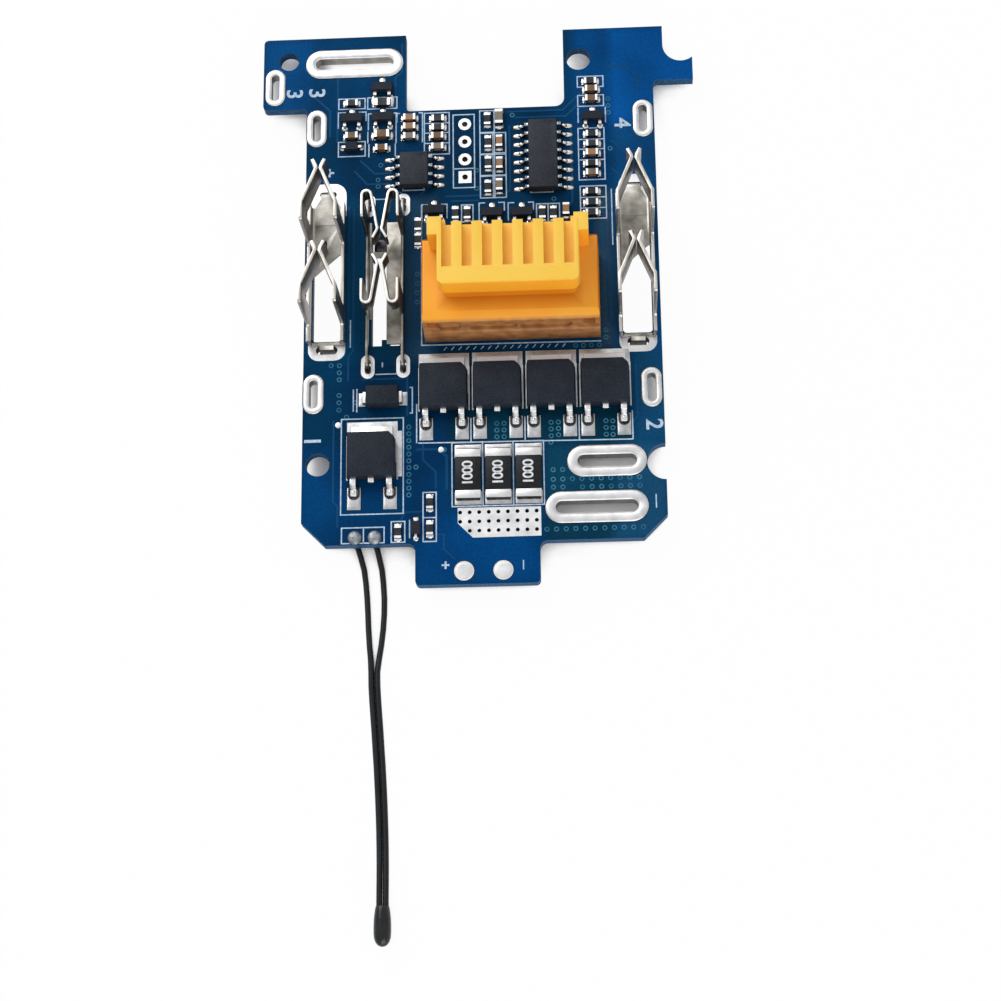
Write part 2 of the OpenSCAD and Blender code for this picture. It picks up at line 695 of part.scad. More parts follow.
// Head seen from above: square behind, rounded corners in front.
module head2d(inset, r) {
    w = head_w - 2 * inset;
    difference() {
        translate([-w / 2, head_y[0] + inset]) square([w, head_y[1] - head_y[0] - inset]);
        for (m = [0, 1]) mirror([m, 0]) translate([-w / 2, head_y[0] + inset]) corner2d(r);
    }
}

module housing_head() {
    edge = 0.25;
    translate([0, 0, base_h - 0.5]) linear_extrude(head_z - base_h + 1) head2d(neck_in, 1);
    intersection() {
        translate([0, 0, head_z]) linear_extrude(head_h - head_z) head2d(0, 1);
        along(head_y[1] + 1) difference() {
            translate([-head_w / 2, 0]) square([head_w, head_h]);
            for (m = [0, 1]) mirror([m, 0])
                translate([-head_w / 2, head_h]) rotate(-90) corner2d(edge);
        }
        across(head_w) difference() {
            translate([head_y[0], 0]) square([head_y[1] - head_y[0], head_h]);
            translate([head_y[0], head_h]) rotate(-90) corner2d(edge);
            translate([head_y[1], head_h]) rotate(180) corner2d(edge);
        }
    }
    for (m = [0, 1]) mirror([m, 0, 0])
        translate([head_w / 2 - 1, ear_post_y[0], 0])
            cube([ear_post_w + 1, ear_post_y[1] - ear_post_y[0], head_h - 0.1]);
}

// Shallow pockets and corner notches in the front face of the base.
module front_relief() {
    pocket_h = 2;
    low = lip_z + 0.5;
    for (p = [[-7.7, 2.8], [-2.2, 6], [4.4, 6.6]])
        translate([p[0], 0.65, low + pocket_h / 2]) rotate([90, 0, 0]) linear_extrude(2) union() {
            slot2d(p[1], pocket_h);
            translate([-p[1] / 2, -pocket_h / 2]) square([p[1] / 2, pocket_h]);
        }
    for (s = [-1, 1]) translate([s * (base_w / 2 - 1.4) - 0.75, -0.5, 4.3]) cube([1.5, 1.7, 1.8]);
}

module signal_housing() color("#f7a72c") on_board(conn_x, conn_y, land_t) difference() {
    union() {
        housing_base();
        housing_head();
    }
    front_relief();
    for (i = [0 : ways - 1]) translate([i * pitch - ways_w / 2, 0, 0]) {
        translate([-groove_w / 2, groove_y, head_h - groove_d]) cube([groove_w, base_l, groove_d + 1]);
        translate([-pocket_w / 2, pocket_y, pocket_z[0]])
            cube([pocket_w, base_l, pocket_z[1] - pocket_z[0]]);
        translate([-tail_w[0] / 2 - tail_gap, tail_y - tail_w[1] / 2 - tail_gap, -1])
            cube([tail_w[0] + 2 * tail_gap, tail_w[1] + 2 * tail_gap, pocket_z[0] + 2]);
    }
}

// Fork contact: two leaves on a block, and a tail through the board.
module contact() {
    leaf_h = pocket_z[1] - pocket_z[0] - 1.2;
    x0 = pocket_w / 2 - 0.1 - contact_t / 2;
    block_l = 0.9;
    path = [[x0, 0], [x0, 0.2 * leaf_l], [0.22, 0.75 * leaf_l], [0.2, 0.82 * leaf_l],
        [0.3, 0.89 * leaf_l], [0.45, leaf_l]];
    translate([-x0 - contact_t / 2, tail_y - block_l / 2, pocket_z[0]])
        cube([2 * x0 + contact_t, block_l, leaf_h]);
    for (m = [0, 1]) mirror([m, 0, 0])
        translate([0, tail_y, pocket_z[0]]) bent_sheet(path, contact_t, leaf_h);
    translate([-tail_w[0] / 2, tail_y - tail_w[1] / 2, -top_z - land_t])
        cube([tail_w[0], tail_w[1], top_z + land_t + pocket_z[0] + 0.5]);
}

module signal_contacts() color("gold") for (i = [0 : ways - 1])
    on_board(conn_x + i * pitch - ways_w / 2, conn_y, land_t) contact();

// ---- power transistors, shunts, diode ----

// Lead frame of one transistor: tab, two formed leads and the cut centre lead.
module fet_frame() {
    tab_w = 5.3;
    lead_w = 0.75;
    front = -fet_l / 2;
    mid_z = 1;
    t = lead_t;
    translate([-tab_w / 2, front + 1.2, seat_z]) cube([tab_w, fet_l - 0.1, t]);
    for (s = [-1, 1]) translate([s * fet_lead_x, 0, 0]) across(lead_w) polygon([
        [front + 0.4, mid_z], [front - 0.5, mid_z], [front - 1, seat_z], [front - 2.1, seat_z],
        [front - 2.1, seat_z + t], [front - 1.3, seat_z + t], [front - 0.8, mid_z + t],
        [front + 0.4, mid_z + t]]);
    translate([-lead_w / 2, front - 0.6, mid_z]) cube([lead_w, 1, t]);
}

module fet_body() difference() {
    intersection() {
        moulded([fet_w, fet_l, fet_h], seat_z + 0.05, 1.2, 0.15);
        linear_extrude(fet_h) polygon([
            [-fet_w / 2, -fet_l / 2], [fet_w / 2, -fet_l / 2],
            [fet_w / 2, fet_l / 2 - fet_bevel[1]], [fet_w / 2 - fet_bevel[1], fet_l / 2],
            [fet_bevel[0] - fet_w / 2, fet_l / 2], [-fet_w / 2, fet_l / 2 - fet_bevel[0]]]);
    }
    fet_frame();
}

module at_fet(i) if (i == 5) on_board(side_fet[0], side_fet[1]) children();
    else on_board(fet_x + (i - 1) * fet_pitch, fet_y) children();

module a_fet_body(i) color("#2d2f36") at_fet(i) fet_body();
module a_fet_frame(i) color("silver") at_fet(i) fet_frame();

// End caps wrap over the last stretch of the shunt on all four sides.
module shunt_caps() {
    t = 0.08;
    for (m = [0, 1]) mirror([0, m, 0]) difference() {
        translate([-shunt_w / 2, shunt_l / 2 - shunt_cap, seat_z])
            cube([shunt_w, shunt_cap, shunt_h]);
        translate([-shunt_w, shunt_l / 2 - shunt_cap - 1, seat_z + t])
            cube([2 * shunt_w, shunt_cap + 1 - t, shunt_h - 2 * t]);
    }
}

module shunt() difference() {
    translate([-shunt_w / 2, -shunt_l / 2, seat_z]) cube([shunt_w, shunt_l, shunt_h]);
    shunt_caps();
}

module at_shunt(i) on_board(shunt_x + (i - 1) * shunt_pitch, shunt_y) children();
module a_shunt(i) color("#17181c") at_shunt(i) shunt();
module a_shunt_end(i) color("gainsboro") at_shunt(i) shunt_caps();

module diode_strips() {
    t = 0.2;
    x = diode_size[0] / 2;
    for (m = [0, 1]) mirror([m, 0, 0]) translate([0, -0.75, 0]) along(1.5) polygon([
        [x - 0.4, 1], [x + 0.35, 1], [x + 0.35, seat_z], [x - 1, seat_z], [x - 1, seat_z + t],
        [x + 0.35 - t, seat_z + t], [x + 0.35 - t, 1 - t], [x - 0.4, 1 - t]]);
}

module diode_body() color("#26282f") on_board(diode_xy[0], diode_xy[1]) difference() {
    moulded(diode_size, seat_z + 0.1, 1, 0.15);
    diode_strips();
}

module diode_ends() color("silver") on_board(diode_xy[0], diode_xy[1]) diode_strips();

// ---- integrated circuits ----

ic_body_w = 3.07 * ic_pitch;
ic_reach = 2.44 * ic_pitch;        // from the middle to the tip of a lead
ic_lead_w = 0.42;

// Gull-wing lead, drawn outwards from the body's side.
module gull2d(x, mid_z, out, t) polygon([
    [x - 0.2, mid_z], [x + 0.3, mid_z], [x + 0.55, seat_z], [out, seat_z], [out, seat_z + t],
    [x + 0.7, seat_z + t], [x + 0.45, mid_z + t], [x - 0.2, mid_z + t]]);

module ic_leads(rows) for (m = [0, 1]) mirror([m, 0, 0]) for (i = [0 : rows - 1])
    translate([0, (i - (rows - 1) / 2) * ic_pitch - ic_lead_w / 2, 0])
        along(ic_lead_w) gull2d(ic_body_w / 2, 0.75, ic_reach, 0.2);

// The body has a round pin-one mark pressed into its top.
module ic_body(rows) difference() {
    l = rows * ic_pitch - 0.2;
    moulded([ic_body_w, l, ic_h], seat_z + 0.1, 0.85, 0.15);
    ic_leads(rows);
    translate([ic_body_w / 2 - 0.75, l / 2 - 0.75, ic_h - 0.06]) cylinder(d = 0.6, h = 1);
}

module balance_chip_body() color("#303239") on_board(balance_xy[0], balance_xy[1]) ic_body(8);
module balance_chip_leads() color("silver") on_board(balance_xy[0], balance_xy[1]) ic_leads(8);
module sense_chip_body() color("#303239") on_board(sense_xy[0], sense_xy[1]) ic_body(4);
module sense_chip_leads() color("silver") on_board(sense_xy[0], sense_xy[1]) ic_leads(4);

// ---- small transistors and diodes ----

sot_size = [2.9, 1.3, 1.05];
sod_size = [1.7, 1.25, 0.95];

module sot_leads() {
    for (p = [[-0.95, -1], [0.95, -1], [0, 1]]) mirror([0, p[1] < 0 ? 1 : 0, 0])
        translate([p[0], 0, 0]) across(0.4) gull2d(sot_size[1] / 2, 0.45, 1.25, 0.15);
}

module sot_body() difference() {
    moulded(sot_size, seat_z + 0.05, 0.5, 0.1);
    sot_leads();
}

module sod_leads() for (m = [0, 1]) mirror([m, 0, 0])
    translate([0, -0.16, 0]) along(0.32) gull2d(sod_size[0] / 2, 0.4, 1.4, 0.15);

module sod_body() difference() {
    moulded(sod_size, seat_z + 0.05, 0.45, 0.08);
    sod_leads();
}

module small_transistor_bodies() color("#2a2c33") {
    for (p = sots) on_board(p[0], p[1]) sot_body();
    for (p = sods) on_board(p[0], p[1], 0, p[2]) sod_body();
}

module small_transistor_leads() color("silver") {
    for (p = sots) on_board(p[0], p[1]) sot_leads();
    for (p = sods) on_board(p[0], p[1], 0, p[2]) sod_leads();
}

// ---- chips ----

chip_cap = 0.3;                    // length of a small chip's end cap

module chip_body(k, h) translate([chip_cap * k - k * chip_l / 2, -k * chip_w / 2, seat_z])
    cube([k * (chip_l - 2 * chip_cap), k * chip_w, k * h]);

module chip_ends(k, h) for (m = [0, 1]) mirror([m, 0, 0])
    translate([k * (chip_l / 2 - chip_cap), -k * chip_w / 2 - 0.02, seat_z])
        cube([k * chip_cap, k * chip_w + 0.04, k * h + 0.02]);

module at_each(list) for (p = list) on_board(p[0], p[1], 0, p[2]) children();

module resistor_bodies() color("#3d4046") {
    at_each(resistors) chip_body(1, resistor_h);
    at_each(large_resistors) chip_body(large_scale, resistor_h);
}

module resistor_ends() color("gainsboro") {
    at_each(resistors) chip_ends(1, resistor_h);
    at_each(large_resistors) chip_ends(large_scale, resistor_h);
}

module capacitor_bodies() color("#a08a72") {
    at_each(capacitors) chip_body(1, capacitor_h);
    at_each(large_capacitors) chip_body(large_scale, capacitor_h);
}

module capacitor_ends() color("gainsboro") {
    at_each(capacitors) chip_ends(1, capacitor_h);
    at_each(large_capacitors) chip_ends(large_scale, capacitor_h);
}

// ---- lands under the parts ----

module pad(x, y, w, l) translate([x - w / 2, y - l / 2, 0]) cube([w, l, land_t]);

module fet_lands() {
    pad(0, fet_l / 2 - 0.9, fet_w + 0.25, fet_l - 0.5);
    for (s = [-1, 1]) pad(s * fet_lead_x, -fet_l / 2 - 2.3, 1.7, 2.9);
}

module power_lands() color("gainsboro") {
    // The last transistor of the row meets the land of the right clip edge to edge.
    difference() {
        for (i = [1 : 5]) at_fet(i) fet_lands();
        on_board(clip_span / 2, clip_y, -1) linear_extrude(2) front_land2d();
    }
    for (i = [1 : 3]) at_shunt(i)
        for (s = [-1, 1]) pad(0, s * (shunt_l / 2 - 0.1), shunt_w + 0.2, 1.7);
    on_board(diode_xy[0], diode_xy[1])
        for (s = [-1, 1]) pad(s * (diode_size[0] / 2 - 0.1), 0, 2.1, 1.8);
}

module chip_pads(k) for (s = [-1, 1]) pad(s * k * chip_l / 2, 0, k * 0.8, k * 0.9);

module ic_pads(rows) for (s = [-1, 1]) for (i = [0 : rows - 1])
    pad(s * 3.2, (i - (rows - 1) / 2) * ic_pitch, 1.4, 0.6);

module chip_lands() color("gainsboro") {
    at_each(concat(resistors, capacitors)) chip_pads(1);
    at_each(concat(large_resistors, large_capacitors)) chip_pads(large_scale);
    on_board(balance_xy[0], balance_xy[1]) ic_pads(8);
    on_board(sense_xy[0], sense_xy[1]) ic_pads(4);
    for (p = sots) on_board(p[0], p[1]) {
        for (s = [-1, 1]) pad(s * 0.95, -1.2, 0.8, 0.8);
        pad(0, 1.2, 0.8, 0.8);
    }
    for (p = sods) on_board(p[0], p[1], 0, p[2]) for (s = [-1, 1]) pad(s * 1.25, 0, 0.7, 0.7);
}

// ---- solder on the underside ----

joint_h = tail_l - 0.4;

// A solder cone round a tail of half size a by b.
module tail_joint(a, b) translate([0, 0, -board_t - land_t - joint_h]) difference() {
    cylinder(r1 = max(a, b) + 0.1, r2 = pin_land / 2 - 0.05, h = joint_h);
    translate([-a, -b, -1]) cube([2 * a, 2 * b, joint_h + 2]);
}

// A solder ridge along a flat leg.
module leg_joint(a, b) translate([0, 0, -board_t - land_t - joint_h]) difference() {
    translate([-a, 0, 0]) rotate([90, 0, 90]) linear_extrude(2 * a) polygon([
        [-b - 0.15, 0], [b + 0.15, 0], [b + 0.45, joint_h], [-b - 0.45, joint_h]]);
    translate([0.2 - a, -b, -1]) cube([2 * a - 0.4, 2 * b, joint_h + 2]);
}

module tail_joints() color("silver") {
    for (i = [0 : ways - 1]) on_board(conn_x + i * pitch - ways_w / 2, conn_y + tail_y)
        tail_joint(tail_w[0] / 2, tail_w[1] / 2);
    for (s = [-1, 1]) on_board(s * clip_span / 2, clip_y) {
        translate([0, front_leg_y, 0]) leg_joint(leg_w / 2 + 0.2, clip_t / 2);
        translate([0, rear_leg_y, 0]) leg_joint(1.1, clip_t / 2);
    }
    for (s = [-1, 1]) for (y = charge_legs)
        on_board(charge_x + s * charge_wall, charge_y + y, 0, 90)
            leg_joint(charge_leg_l / 2 + 0.2, charge_t / 2);
}

// ---- thermistor ----

ntc_joint_x = ntc_pitch / 2;

// Solder dome on top, solder through the hole, and the blob below that the lead runs into.
module ntc_joints() color("silver") for (s = [-1, 1])
    on_board(ntc_start[0] + s * ntc_joint_x - 0.1, ntc_joint_y, 0) {
        rotate_extrude() polygon(concat([[0, -board_t], [ntc_hole / 2, -board_t], [ntc_hole / 2, 0],
            [0.95, 0]], [for (a = [15 : 15 : 90]) [0.95 * cos(a), 0.55 * sin(a)]]));
        translate([0, 0, -board_t - 1.05]) difference() {
            cylinder(r1 = 0.8, r2 = 0.95, h = 1.05);
            translate([-2, -3 + ntc_start[1] - ntc_joint_y, -1]) cube([4, 3, 4]);
        }
    }

function ntc_point(i, s) = let (p = ntc_route[i]) [p[0] + s * p[3] - mid_x, p[1] - mid_y, p[2]];
function ntc_dir(i, s) = let (last = len(ntc_route) - 1)
    i == 0 || i == last ? [0, -1, 0]
    : unit(ntc_point(i + 1, s) - ntc_point(i - 1, s));
function ntc_ring(i, s) = let (
        t = ntc_dir(i, s),
        side = unit(cross(t, [0, 0, 1])),
        up = cross(side, t))
    [for (k = [0 : ntc_sides - 1]) ntc_point(i, s)
        + ntc_d / 2 * (side * cos(360 * (k + 0.5) / ntc_sides) + up * sin(360 * (k + 0.5) / ntc_sides))];

module ntc_lead(s) {
    n = len(ntc_route);
    k = ntc_sides;
    points = [for (i = [0 : n - 1]) each ntc_ring(i, s)];
    faces = concat(
        [[for (j = [0 : k - 1]) j]],
        [for (i = [0 : n - 2]) for (j = [0 : k - 1])
            [i * k + j, (i + 1) * k + j, (i + 1) * k + (j + 1) % k, i * k + (j + 1) % k]],
        [[for (j = [k - 1 : -1 : 0]) (n - 1) * k + j]]);
    polyhedron(points, faces);
}

module ntc_lead_left() color("#1c1e24") ntc_lead(-1);
module ntc_lead_right() color("#1c1e24") ntc_lead(1);

module ntc_bead() color("#17181d") {
    r = bead_d / 2;
    neck = ntc_d + 0.05;
    translate([ntc_end[0] - mid_x, ntc_end[1] - mid_y, ntc_end[2]]) rotate([90, 0, 0])
        rotate_extrude() polygon(concat(
            [[0, 0], [neck, 0], [neck + 0.12, 0.4], [r - 0.03, 1.5], [r, 2.2]],
            [for (a = [0 : 15 : 75]) [r * cos(a), bead_l - 1.25 * r + 1.25 * r * sin(a)]],
            [[0, bead_l]]));
}

board();
cell_slot_eyelets();
bus_slot_eyelets();
clip_eyelets();
charge_clip_eyelets();
header_eyelets();
pin_eyelets();
lamp_lands();
tinned_land();
left_power_clip();
right_power_clip();
charge_clip();
signal_housing();
signal_contacts();
for (i = [1 : 5]) {
    a_fet_body(i);
    a_fet_frame(i);
}
for (i = [1 : 3]) {
    a_shunt(i);
    a_shunt_end(i);
}
diode_body();
diode_ends();
balance_chip_body();
balance_chip_leads();
sense_chip_body();
sense_chip_leads();
small_transistor_bodies();
small_transistor_leads();
resistor_bodies();
resistor_ends();
capacitor_bodies();
capacitor_ends();
power_lands();
chip_lands();
tail_joints();
ntc_joints();
ntc_lead_left();
ntc_lead_right();
ntc_bead();
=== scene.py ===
# %% [markdown]
# # A battery management board, dressed for rendering
# The solids of this board come ready made and ready placed, so this lesson is about finish: solder
# mask, print, tin, solder, moulded epoxy, yellow nylon and two enamelled leads. Each step says what
# the thing is on the real board, how it could be made, and why it is made this way.

# %% Load the frame
import math

import bmesh
import bpy
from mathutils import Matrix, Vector


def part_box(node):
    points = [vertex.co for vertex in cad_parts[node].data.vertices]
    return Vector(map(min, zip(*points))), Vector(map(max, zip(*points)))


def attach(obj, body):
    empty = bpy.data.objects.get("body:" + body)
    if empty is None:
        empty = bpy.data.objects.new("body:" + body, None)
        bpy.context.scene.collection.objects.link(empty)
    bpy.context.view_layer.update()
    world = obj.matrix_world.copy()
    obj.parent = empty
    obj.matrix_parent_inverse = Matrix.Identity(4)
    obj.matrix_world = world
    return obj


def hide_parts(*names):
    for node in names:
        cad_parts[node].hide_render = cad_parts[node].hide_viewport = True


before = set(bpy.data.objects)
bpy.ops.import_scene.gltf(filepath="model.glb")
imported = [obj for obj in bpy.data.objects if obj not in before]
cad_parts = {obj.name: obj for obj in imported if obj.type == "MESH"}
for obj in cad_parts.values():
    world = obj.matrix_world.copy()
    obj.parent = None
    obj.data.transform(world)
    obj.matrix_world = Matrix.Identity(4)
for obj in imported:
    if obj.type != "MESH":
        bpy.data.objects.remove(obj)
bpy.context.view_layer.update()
MM = 0.001

# %% [markdown]
# ## Places on the board
# A board is laid out from its own corner and its own middle line. Positions below are written in
# millimetres: x from the middle of the board's body, y up from its lower edge, and z up from the
# surface of the solder mask. The clips tell where the middle is, and the board's box the rest.

# %% Board places
LAMP_TAB = 5.1                     # the lamp tab hangs this far below the lower edge


def box_of(name):
    """The low and the high corner of a node's box."""
    return [Vector(corner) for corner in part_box(name)]


def middle(box):
    """The middle of a box."""
    return (box[0] + box[1]) / 2


board_low, board_high = box_of("board")
clips = [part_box(name) for name in ("left_power_clip", "right_power_clip")]
middle_x = sum(box[0][0] + box[1][0] for box in clips) / 4
edge_y = board_low.y + LAMP_TAB * MM
top_z = board_high.z


def at(x, y, z=0.0):
    """A place on the board, in millimetres, as a point of the frame in metres."""
    return Vector((middle_x + x * MM, edge_y + y * MM, top_z + z * MM))


def mm(*values):
    """Sizes in millimetres, as metres."""
    return tuple(value * MM for value in values)


print("middle line at", round(middle_x, 5), "lower edge at", round(edge_y, 5), "top at", top_z)

# %% [markdown]
# ## Camera
# The board lies flat and is looked at from nearly straight above, a little from its lower edge.
# A long lens from about a quarter of a metre keeps the outline square and still shows the fronts
# of the tall parts. The floor needs no camera trick, so the lens has no shift.

# %% Camera
CAMERA_PLACE = at(15.57, -71.98, 260.62)
CAMERA_TILT = (16.52, 3.15, -0.67)   # degrees: back, sideways, and turn
LENS = 78.14                         # millimetres, on a sensor 36 mm wide

scene = bpy.context.scene
camera_data = bpy.data.cameras.new("camera")
camera_data.lens = LENS
camera_data.sensor_width = 36
camera_data.clip_start = 0.01
camera = bpy.data.objects.new("camera", camera_data)
camera.location = CAMERA_PLACE
camera.rotation_euler = [math.radians(angle) for angle in CAMERA_TILT]
scene.collection.objects.link(camera)
scene.camera = camera
print("camera", round((CAMERA_PLACE - at(0, 33)).length, 3), "m from the board")

# %% [markdown]
# ## Node helpers
# Every material below is a small tree of shader nodes. One function adds a node, sets its fields
# and its inputs, and links what feeds it. Colours are written as the hex values that a colour
# picker shows, and one function turns them to the linear values that the renderer works in.

# %% Colour and node helpers


def linear(hex_colour):
    """The linear colour of a hex value such as "#1a2b3c"."""
    values = [int(hex_colour[i:i + 2], 16) / 255 for i in (1, 3, 5)]
    return [v / 12.92 if v <= 0.04045 else ((v + 0.055) / 1.055) ** 2.4 for v in values] + [1.0]


def fill(tree, socket, value):
    """Gives a socket its number, vector or hex colour, or links the socket that feeds it."""
    if isinstance(value, bpy.types.NodeSocket):
        tree.links.new(value, socket)
    elif isinstance(value, str) and value.startswith("#"):
        socket.default_value = linear(value)
    else:
        socket.default_value = value


def add(tree, kind, inputs=None, stops=(), **fields):
    """Adds one node and returns its outputs; stops are the (place, hex) of a colour ramp."""
    node = tree.nodes.new(kind)
    for name, value in fields.items():
        setattr(node, name, value)
    for name, value in (inputs or {}).items():
        fill(tree, node.inputs[name], value)
    if stops:
        band = node.color_ramp.elements
        while len(band) < len(stops):
            band.new(0.5)
        for element, (place, colour) in zip(band, stops):
            element.position, element.color = place, linear(colour)
    return node.outputs


print("blue of the mask, linear:", [round(v, 3) for v in linear("#0a4684")[:3]])

# %% [markdown]
# ## Patterns
# A surface is never one flat colour. Most finishes here are the same idea at different sizes: a
# tone that drifts over a few millimetres, and a fine grain that breaks up the light. Noise on the
# piece's own coordinates gives both, with its scale worked out from a real size.

# %% Pattern helpers


def material(name, **shader_values):
    """A new material with its shader's own sockets set; returns it, its tree and its shader."""
    made = bpy.data.materials.new(name)
    made.use_nodes = True
    tree = made.node_tree
    shader = tree.nodes["Principled BSDF"]
    for key, value in shader_values.items():
        fill(tree, shader.inputs[key.replace("_", " ")], value)
    return made, tree, shader


def patches(tree, size, detail=2.0, stretch=None):
    """Noise on the piece's own coordinates, in patches of size millimetres."""
    place = add(tree, "ShaderNodeTexCoord")["Object"]
    if stretch:
        place = add(tree, "ShaderNodeMapping", {"Vector": place, "Scale": stretch})[0]
    return add(tree, "ShaderNodeTexNoise", {
        "Vector": place, "Scale": 1 / (size * MM), "Detail": detail})["Fac"]


def drift(tree, size, dark, light, span=(0.3, 0.7), detail=2.0, **shape):
    """A colour that drifts from dark to light over patches of size millimetres."""
    return add(tree, "ShaderNodeValToRGB", {"Fac": patches(tree, size, detail, **shape)},
               list(zip(span, (dark, light))))["Color"]


def coat(tree, shader, tint, grain, strength, depth, detail=2.0, **shape):
    """Colours a surface, and roughens it in grains of some millimetres, depth millimetres high."""
    fill(tree, shader.inputs["Base Color"], tint)
    height = patches(tree, grain, detail, **shape)
    fill(tree, shader.inputs["Normal"], add(tree, "ShaderNodeBump", {
        "Height": height, "Strength": strength, "Distance": depth * MM})["Normal"])


def plain_finish(name, size, dark, light, grain, strength, depth, span=(0.3, 0.7),
                 **shader_values):
    """A plain finish: a tone that drifts over size millimetres, and a grain."""
    made, tree, shader = material(name, **shader_values)
    coat(tree, shader, drift(tree, size, dark, light, span), grain, strength, depth)
    return made


# %% Where on a piece
LEVEL, UPRIGHT = 0.92, 0.35          # how much of a face's direction points up
ZONE_EDGE = 0.8                      # millimetres over which a zone fades


def facing(tree):
    """The way the surface faces, as its X, Y and Z parts."""
    return add(tree, "ShaderNodeSeparateXYZ", {0: add(tree, "ShaderNodeNewGeometry")["Normal"]})


def steepness(tree):
    """0 on level faces and 1 on upright ones."""
    up = add(tree, "ShaderNodeMath", {0: facing(tree)["Z"]}, operation="ABSOLUTE")[0]
    return add(tree, "ShaderNodeMapRange", {"Value": up, "From Min": LEVEL, "From Max": UPRIGHT})[0]


def between(tree, axis, first, last):
    """0 at one place along an axis of the board and 1 at another, in millimetres."""
    place = add(tree, "ShaderNodeSeparateXYZ", {0: add(tree, "ShaderNodeTexCoord")["Object"]})
    start, end = (at(value, value, value)["XYZ".index(axis)] for value in (first, last))
    return add(tree, "ShaderNodeMapRange", {
        "Value": place[axis], "From Min": start, "From Max": end})[0]


def zone(tree, x0, y0, x1, y1):
    """1 inside a rectangle of the board and 0 outside it."""
    low, high = at(x0, y0), at(x1, y1)
    value = add(tree, "ShaderNodeTexCoord")["Object"]
    for operation, inputs in (("SUBTRACT", {1: (low + high) / 2}), ("ABSOLUTE", {}),
                              ("SUBTRACT", {1: (high - low) / 2})):
        value = add(tree, "ShaderNodeVectorMath", {0: value, **inputs}, operation=operation)[0]
    parts = add(tree, "ShaderNodeSeparateXYZ", {0: value})
    over = add(tree, "ShaderNodeMath", {0: parts["X"], 1: parts["Y"]}, operation="MAXIMUM")[0]
    return add(tree, "ShaderNodeMapRange", {
        "Value": over, "From Min": ZONE_EDGE * MM, "From Max": -ZONE_EDGE * MM})[0]


print("zones fade over", ZONE_EDGE, "mm")

# %% [markdown]
# ## Enamelled thermistor leads
# The thermistor reads the temperature of the cells. Its two copper wires are coated in black
# enamel, leave the underside of the board side by side, drop to the table, close up and run as a
# pair to the bead. They are real free wires, so each is one curve at its full length, and the
# curve follows the same route as its plain solid.

# %% Lead material
# Baked enamel is even and black, and shines along the wire.
lead_black = plain_finish("enamelled_copper_wire", 3.0, "#080b0d", "#141a1e", 0.5, 0.25, 0.05,
                          Roughness=0.35, Specular_IOR_Level=0.3)
print("enamel drifts over 3 mm")

# %% Lead routes
LEAD_WIDTH = 0.75
# Middle between the two leads: across, along, height over the table, and half their spacing.
ROUTE = [
    (-14.85, 0.5, 0.95, 1.2), (-14.5, -0.8, 0.8, 1.15), (-14.15, -2.3, 0.5, 1.12),
    (-13.95, -4, 0.4, 1.1), (-13.8, -6, 0.4, 1.08), (-13.75, -8, 0.4, 1.02),
    (-13.77, -10, 0.4, 0.92), (-13.82, -12, 0.4, 0.74), (-13.88, -13.8, 0.4, 0.52),
    (-13.95, -15.4, 0.4, 0.385), (-13.92, -17.2, 0.4, 0.385), (-13.8, -19.2, 0.4, 0.385),
    (-13.65, -21.2, 0.4, 0.385), (-13.5, -23.2, 0.4, 0.385), (-13.37, -25.2, 0.4, 0.385),
    (-13.23, -27.2, 0.4, 0.385), (-13.12, -29.2, 0.4, 0.385), (-13.02, -31.2, 0.4, 0.385),
    (-12.94, -33.2, 0.4, 0.385), (-12.87, -35.2, 0.42, 0.385), (-12.82, -37.2, 0.5, 0.385),
    (-12.78, -39.2, 0.65, 0.385), (-12.76, -41.2, 0.85, 0.385), (-12.75, -42.8, 1.02, 0.385),
    (-12.75, -44.2, 1.08, 0.385)]


def lead(name, side):
    """One lead as a round curve; side is -1 for the left one and 1 for the right one."""
    curve = bpy.data.curves.new(name, "CURVE")
    curve.dimensions = "3D"
    curve.bevel_depth = LEAD_WIDTH / 2 * MM
    curve.bevel_resolution = 5
    curve.use_fill_caps = True
    spline = curve.splines.new("POLY")
    points = []
    for x, y, height, spread in ROUTE:
        point = at(x + side * spread, y)
        point.z = height * MM
        points.append(point)
    spline.points.add(len(points) - 1)
    for knot, point in zip(spline.points, points):
        knot.co = (*point, 1.0)
    curve.materials.append(lead_black)
    piece = bpy.data.objects.new(name, curve)
    scene.collection.objects.link(piece)
    length = sum((b - a).length for a, b in zip(points, points[1:]))
    return piece, points[0], length


left_lead, left_exit, left_length = lead("left_lead", -1)
right_lead, right_exit, right_length = lead("right_lead", 1)
print("leads", round(left_length / MM, 2), "and", round(right_length / MM, 2), "mm long")

# %% [markdown]
# ## Meshes and finished pieces
# The pieces below are made from lists of corners and faces. A few small functions link such a mesh
# to the scene, turn its faces outwards, smooth it, and join many closed parts to one piece.

# %% Mesh helpers
ROUND_ANGLE = 60                     # degrees: sharper edges than this stay sharp on swept shapes


def mesh_object(name, vertices, faces):
    """A mesh object at the origin, in no collection yet."""
    mesh = bpy.data.meshes.new(name)
    mesh.from_pydata(vertices, [], faces)
    mesh.update()
    return bpy.data.objects.new(name, mesh)


def link_mesh(name, vertices, faces, look):
    """A mesh object in the scene, with its finish."""
    piece = mesh_object(name, vertices, faces)
    piece.data.materials.append(look)
    scene.collection.objects.link(piece)
    return piece


def turn_outwards(piece):
    """Turns the faces of a closed mesh to the outside."""
    made = bmesh.new()
    made.from_mesh(piece.data)
    bmesh.ops.recalc_face_normals(made, faces=made.faces)
    made.to_mesh(piece.data)
    made.free()
    return piece


def smooth(piece, angle):
    """Smooth shading that keeps edges sharper than angle degrees."""
    for polygon in piece.data.polygons:
        polygon.use_smooth = True
    piece.data.set_sharp_from_angle(angle=math.radians(angle))


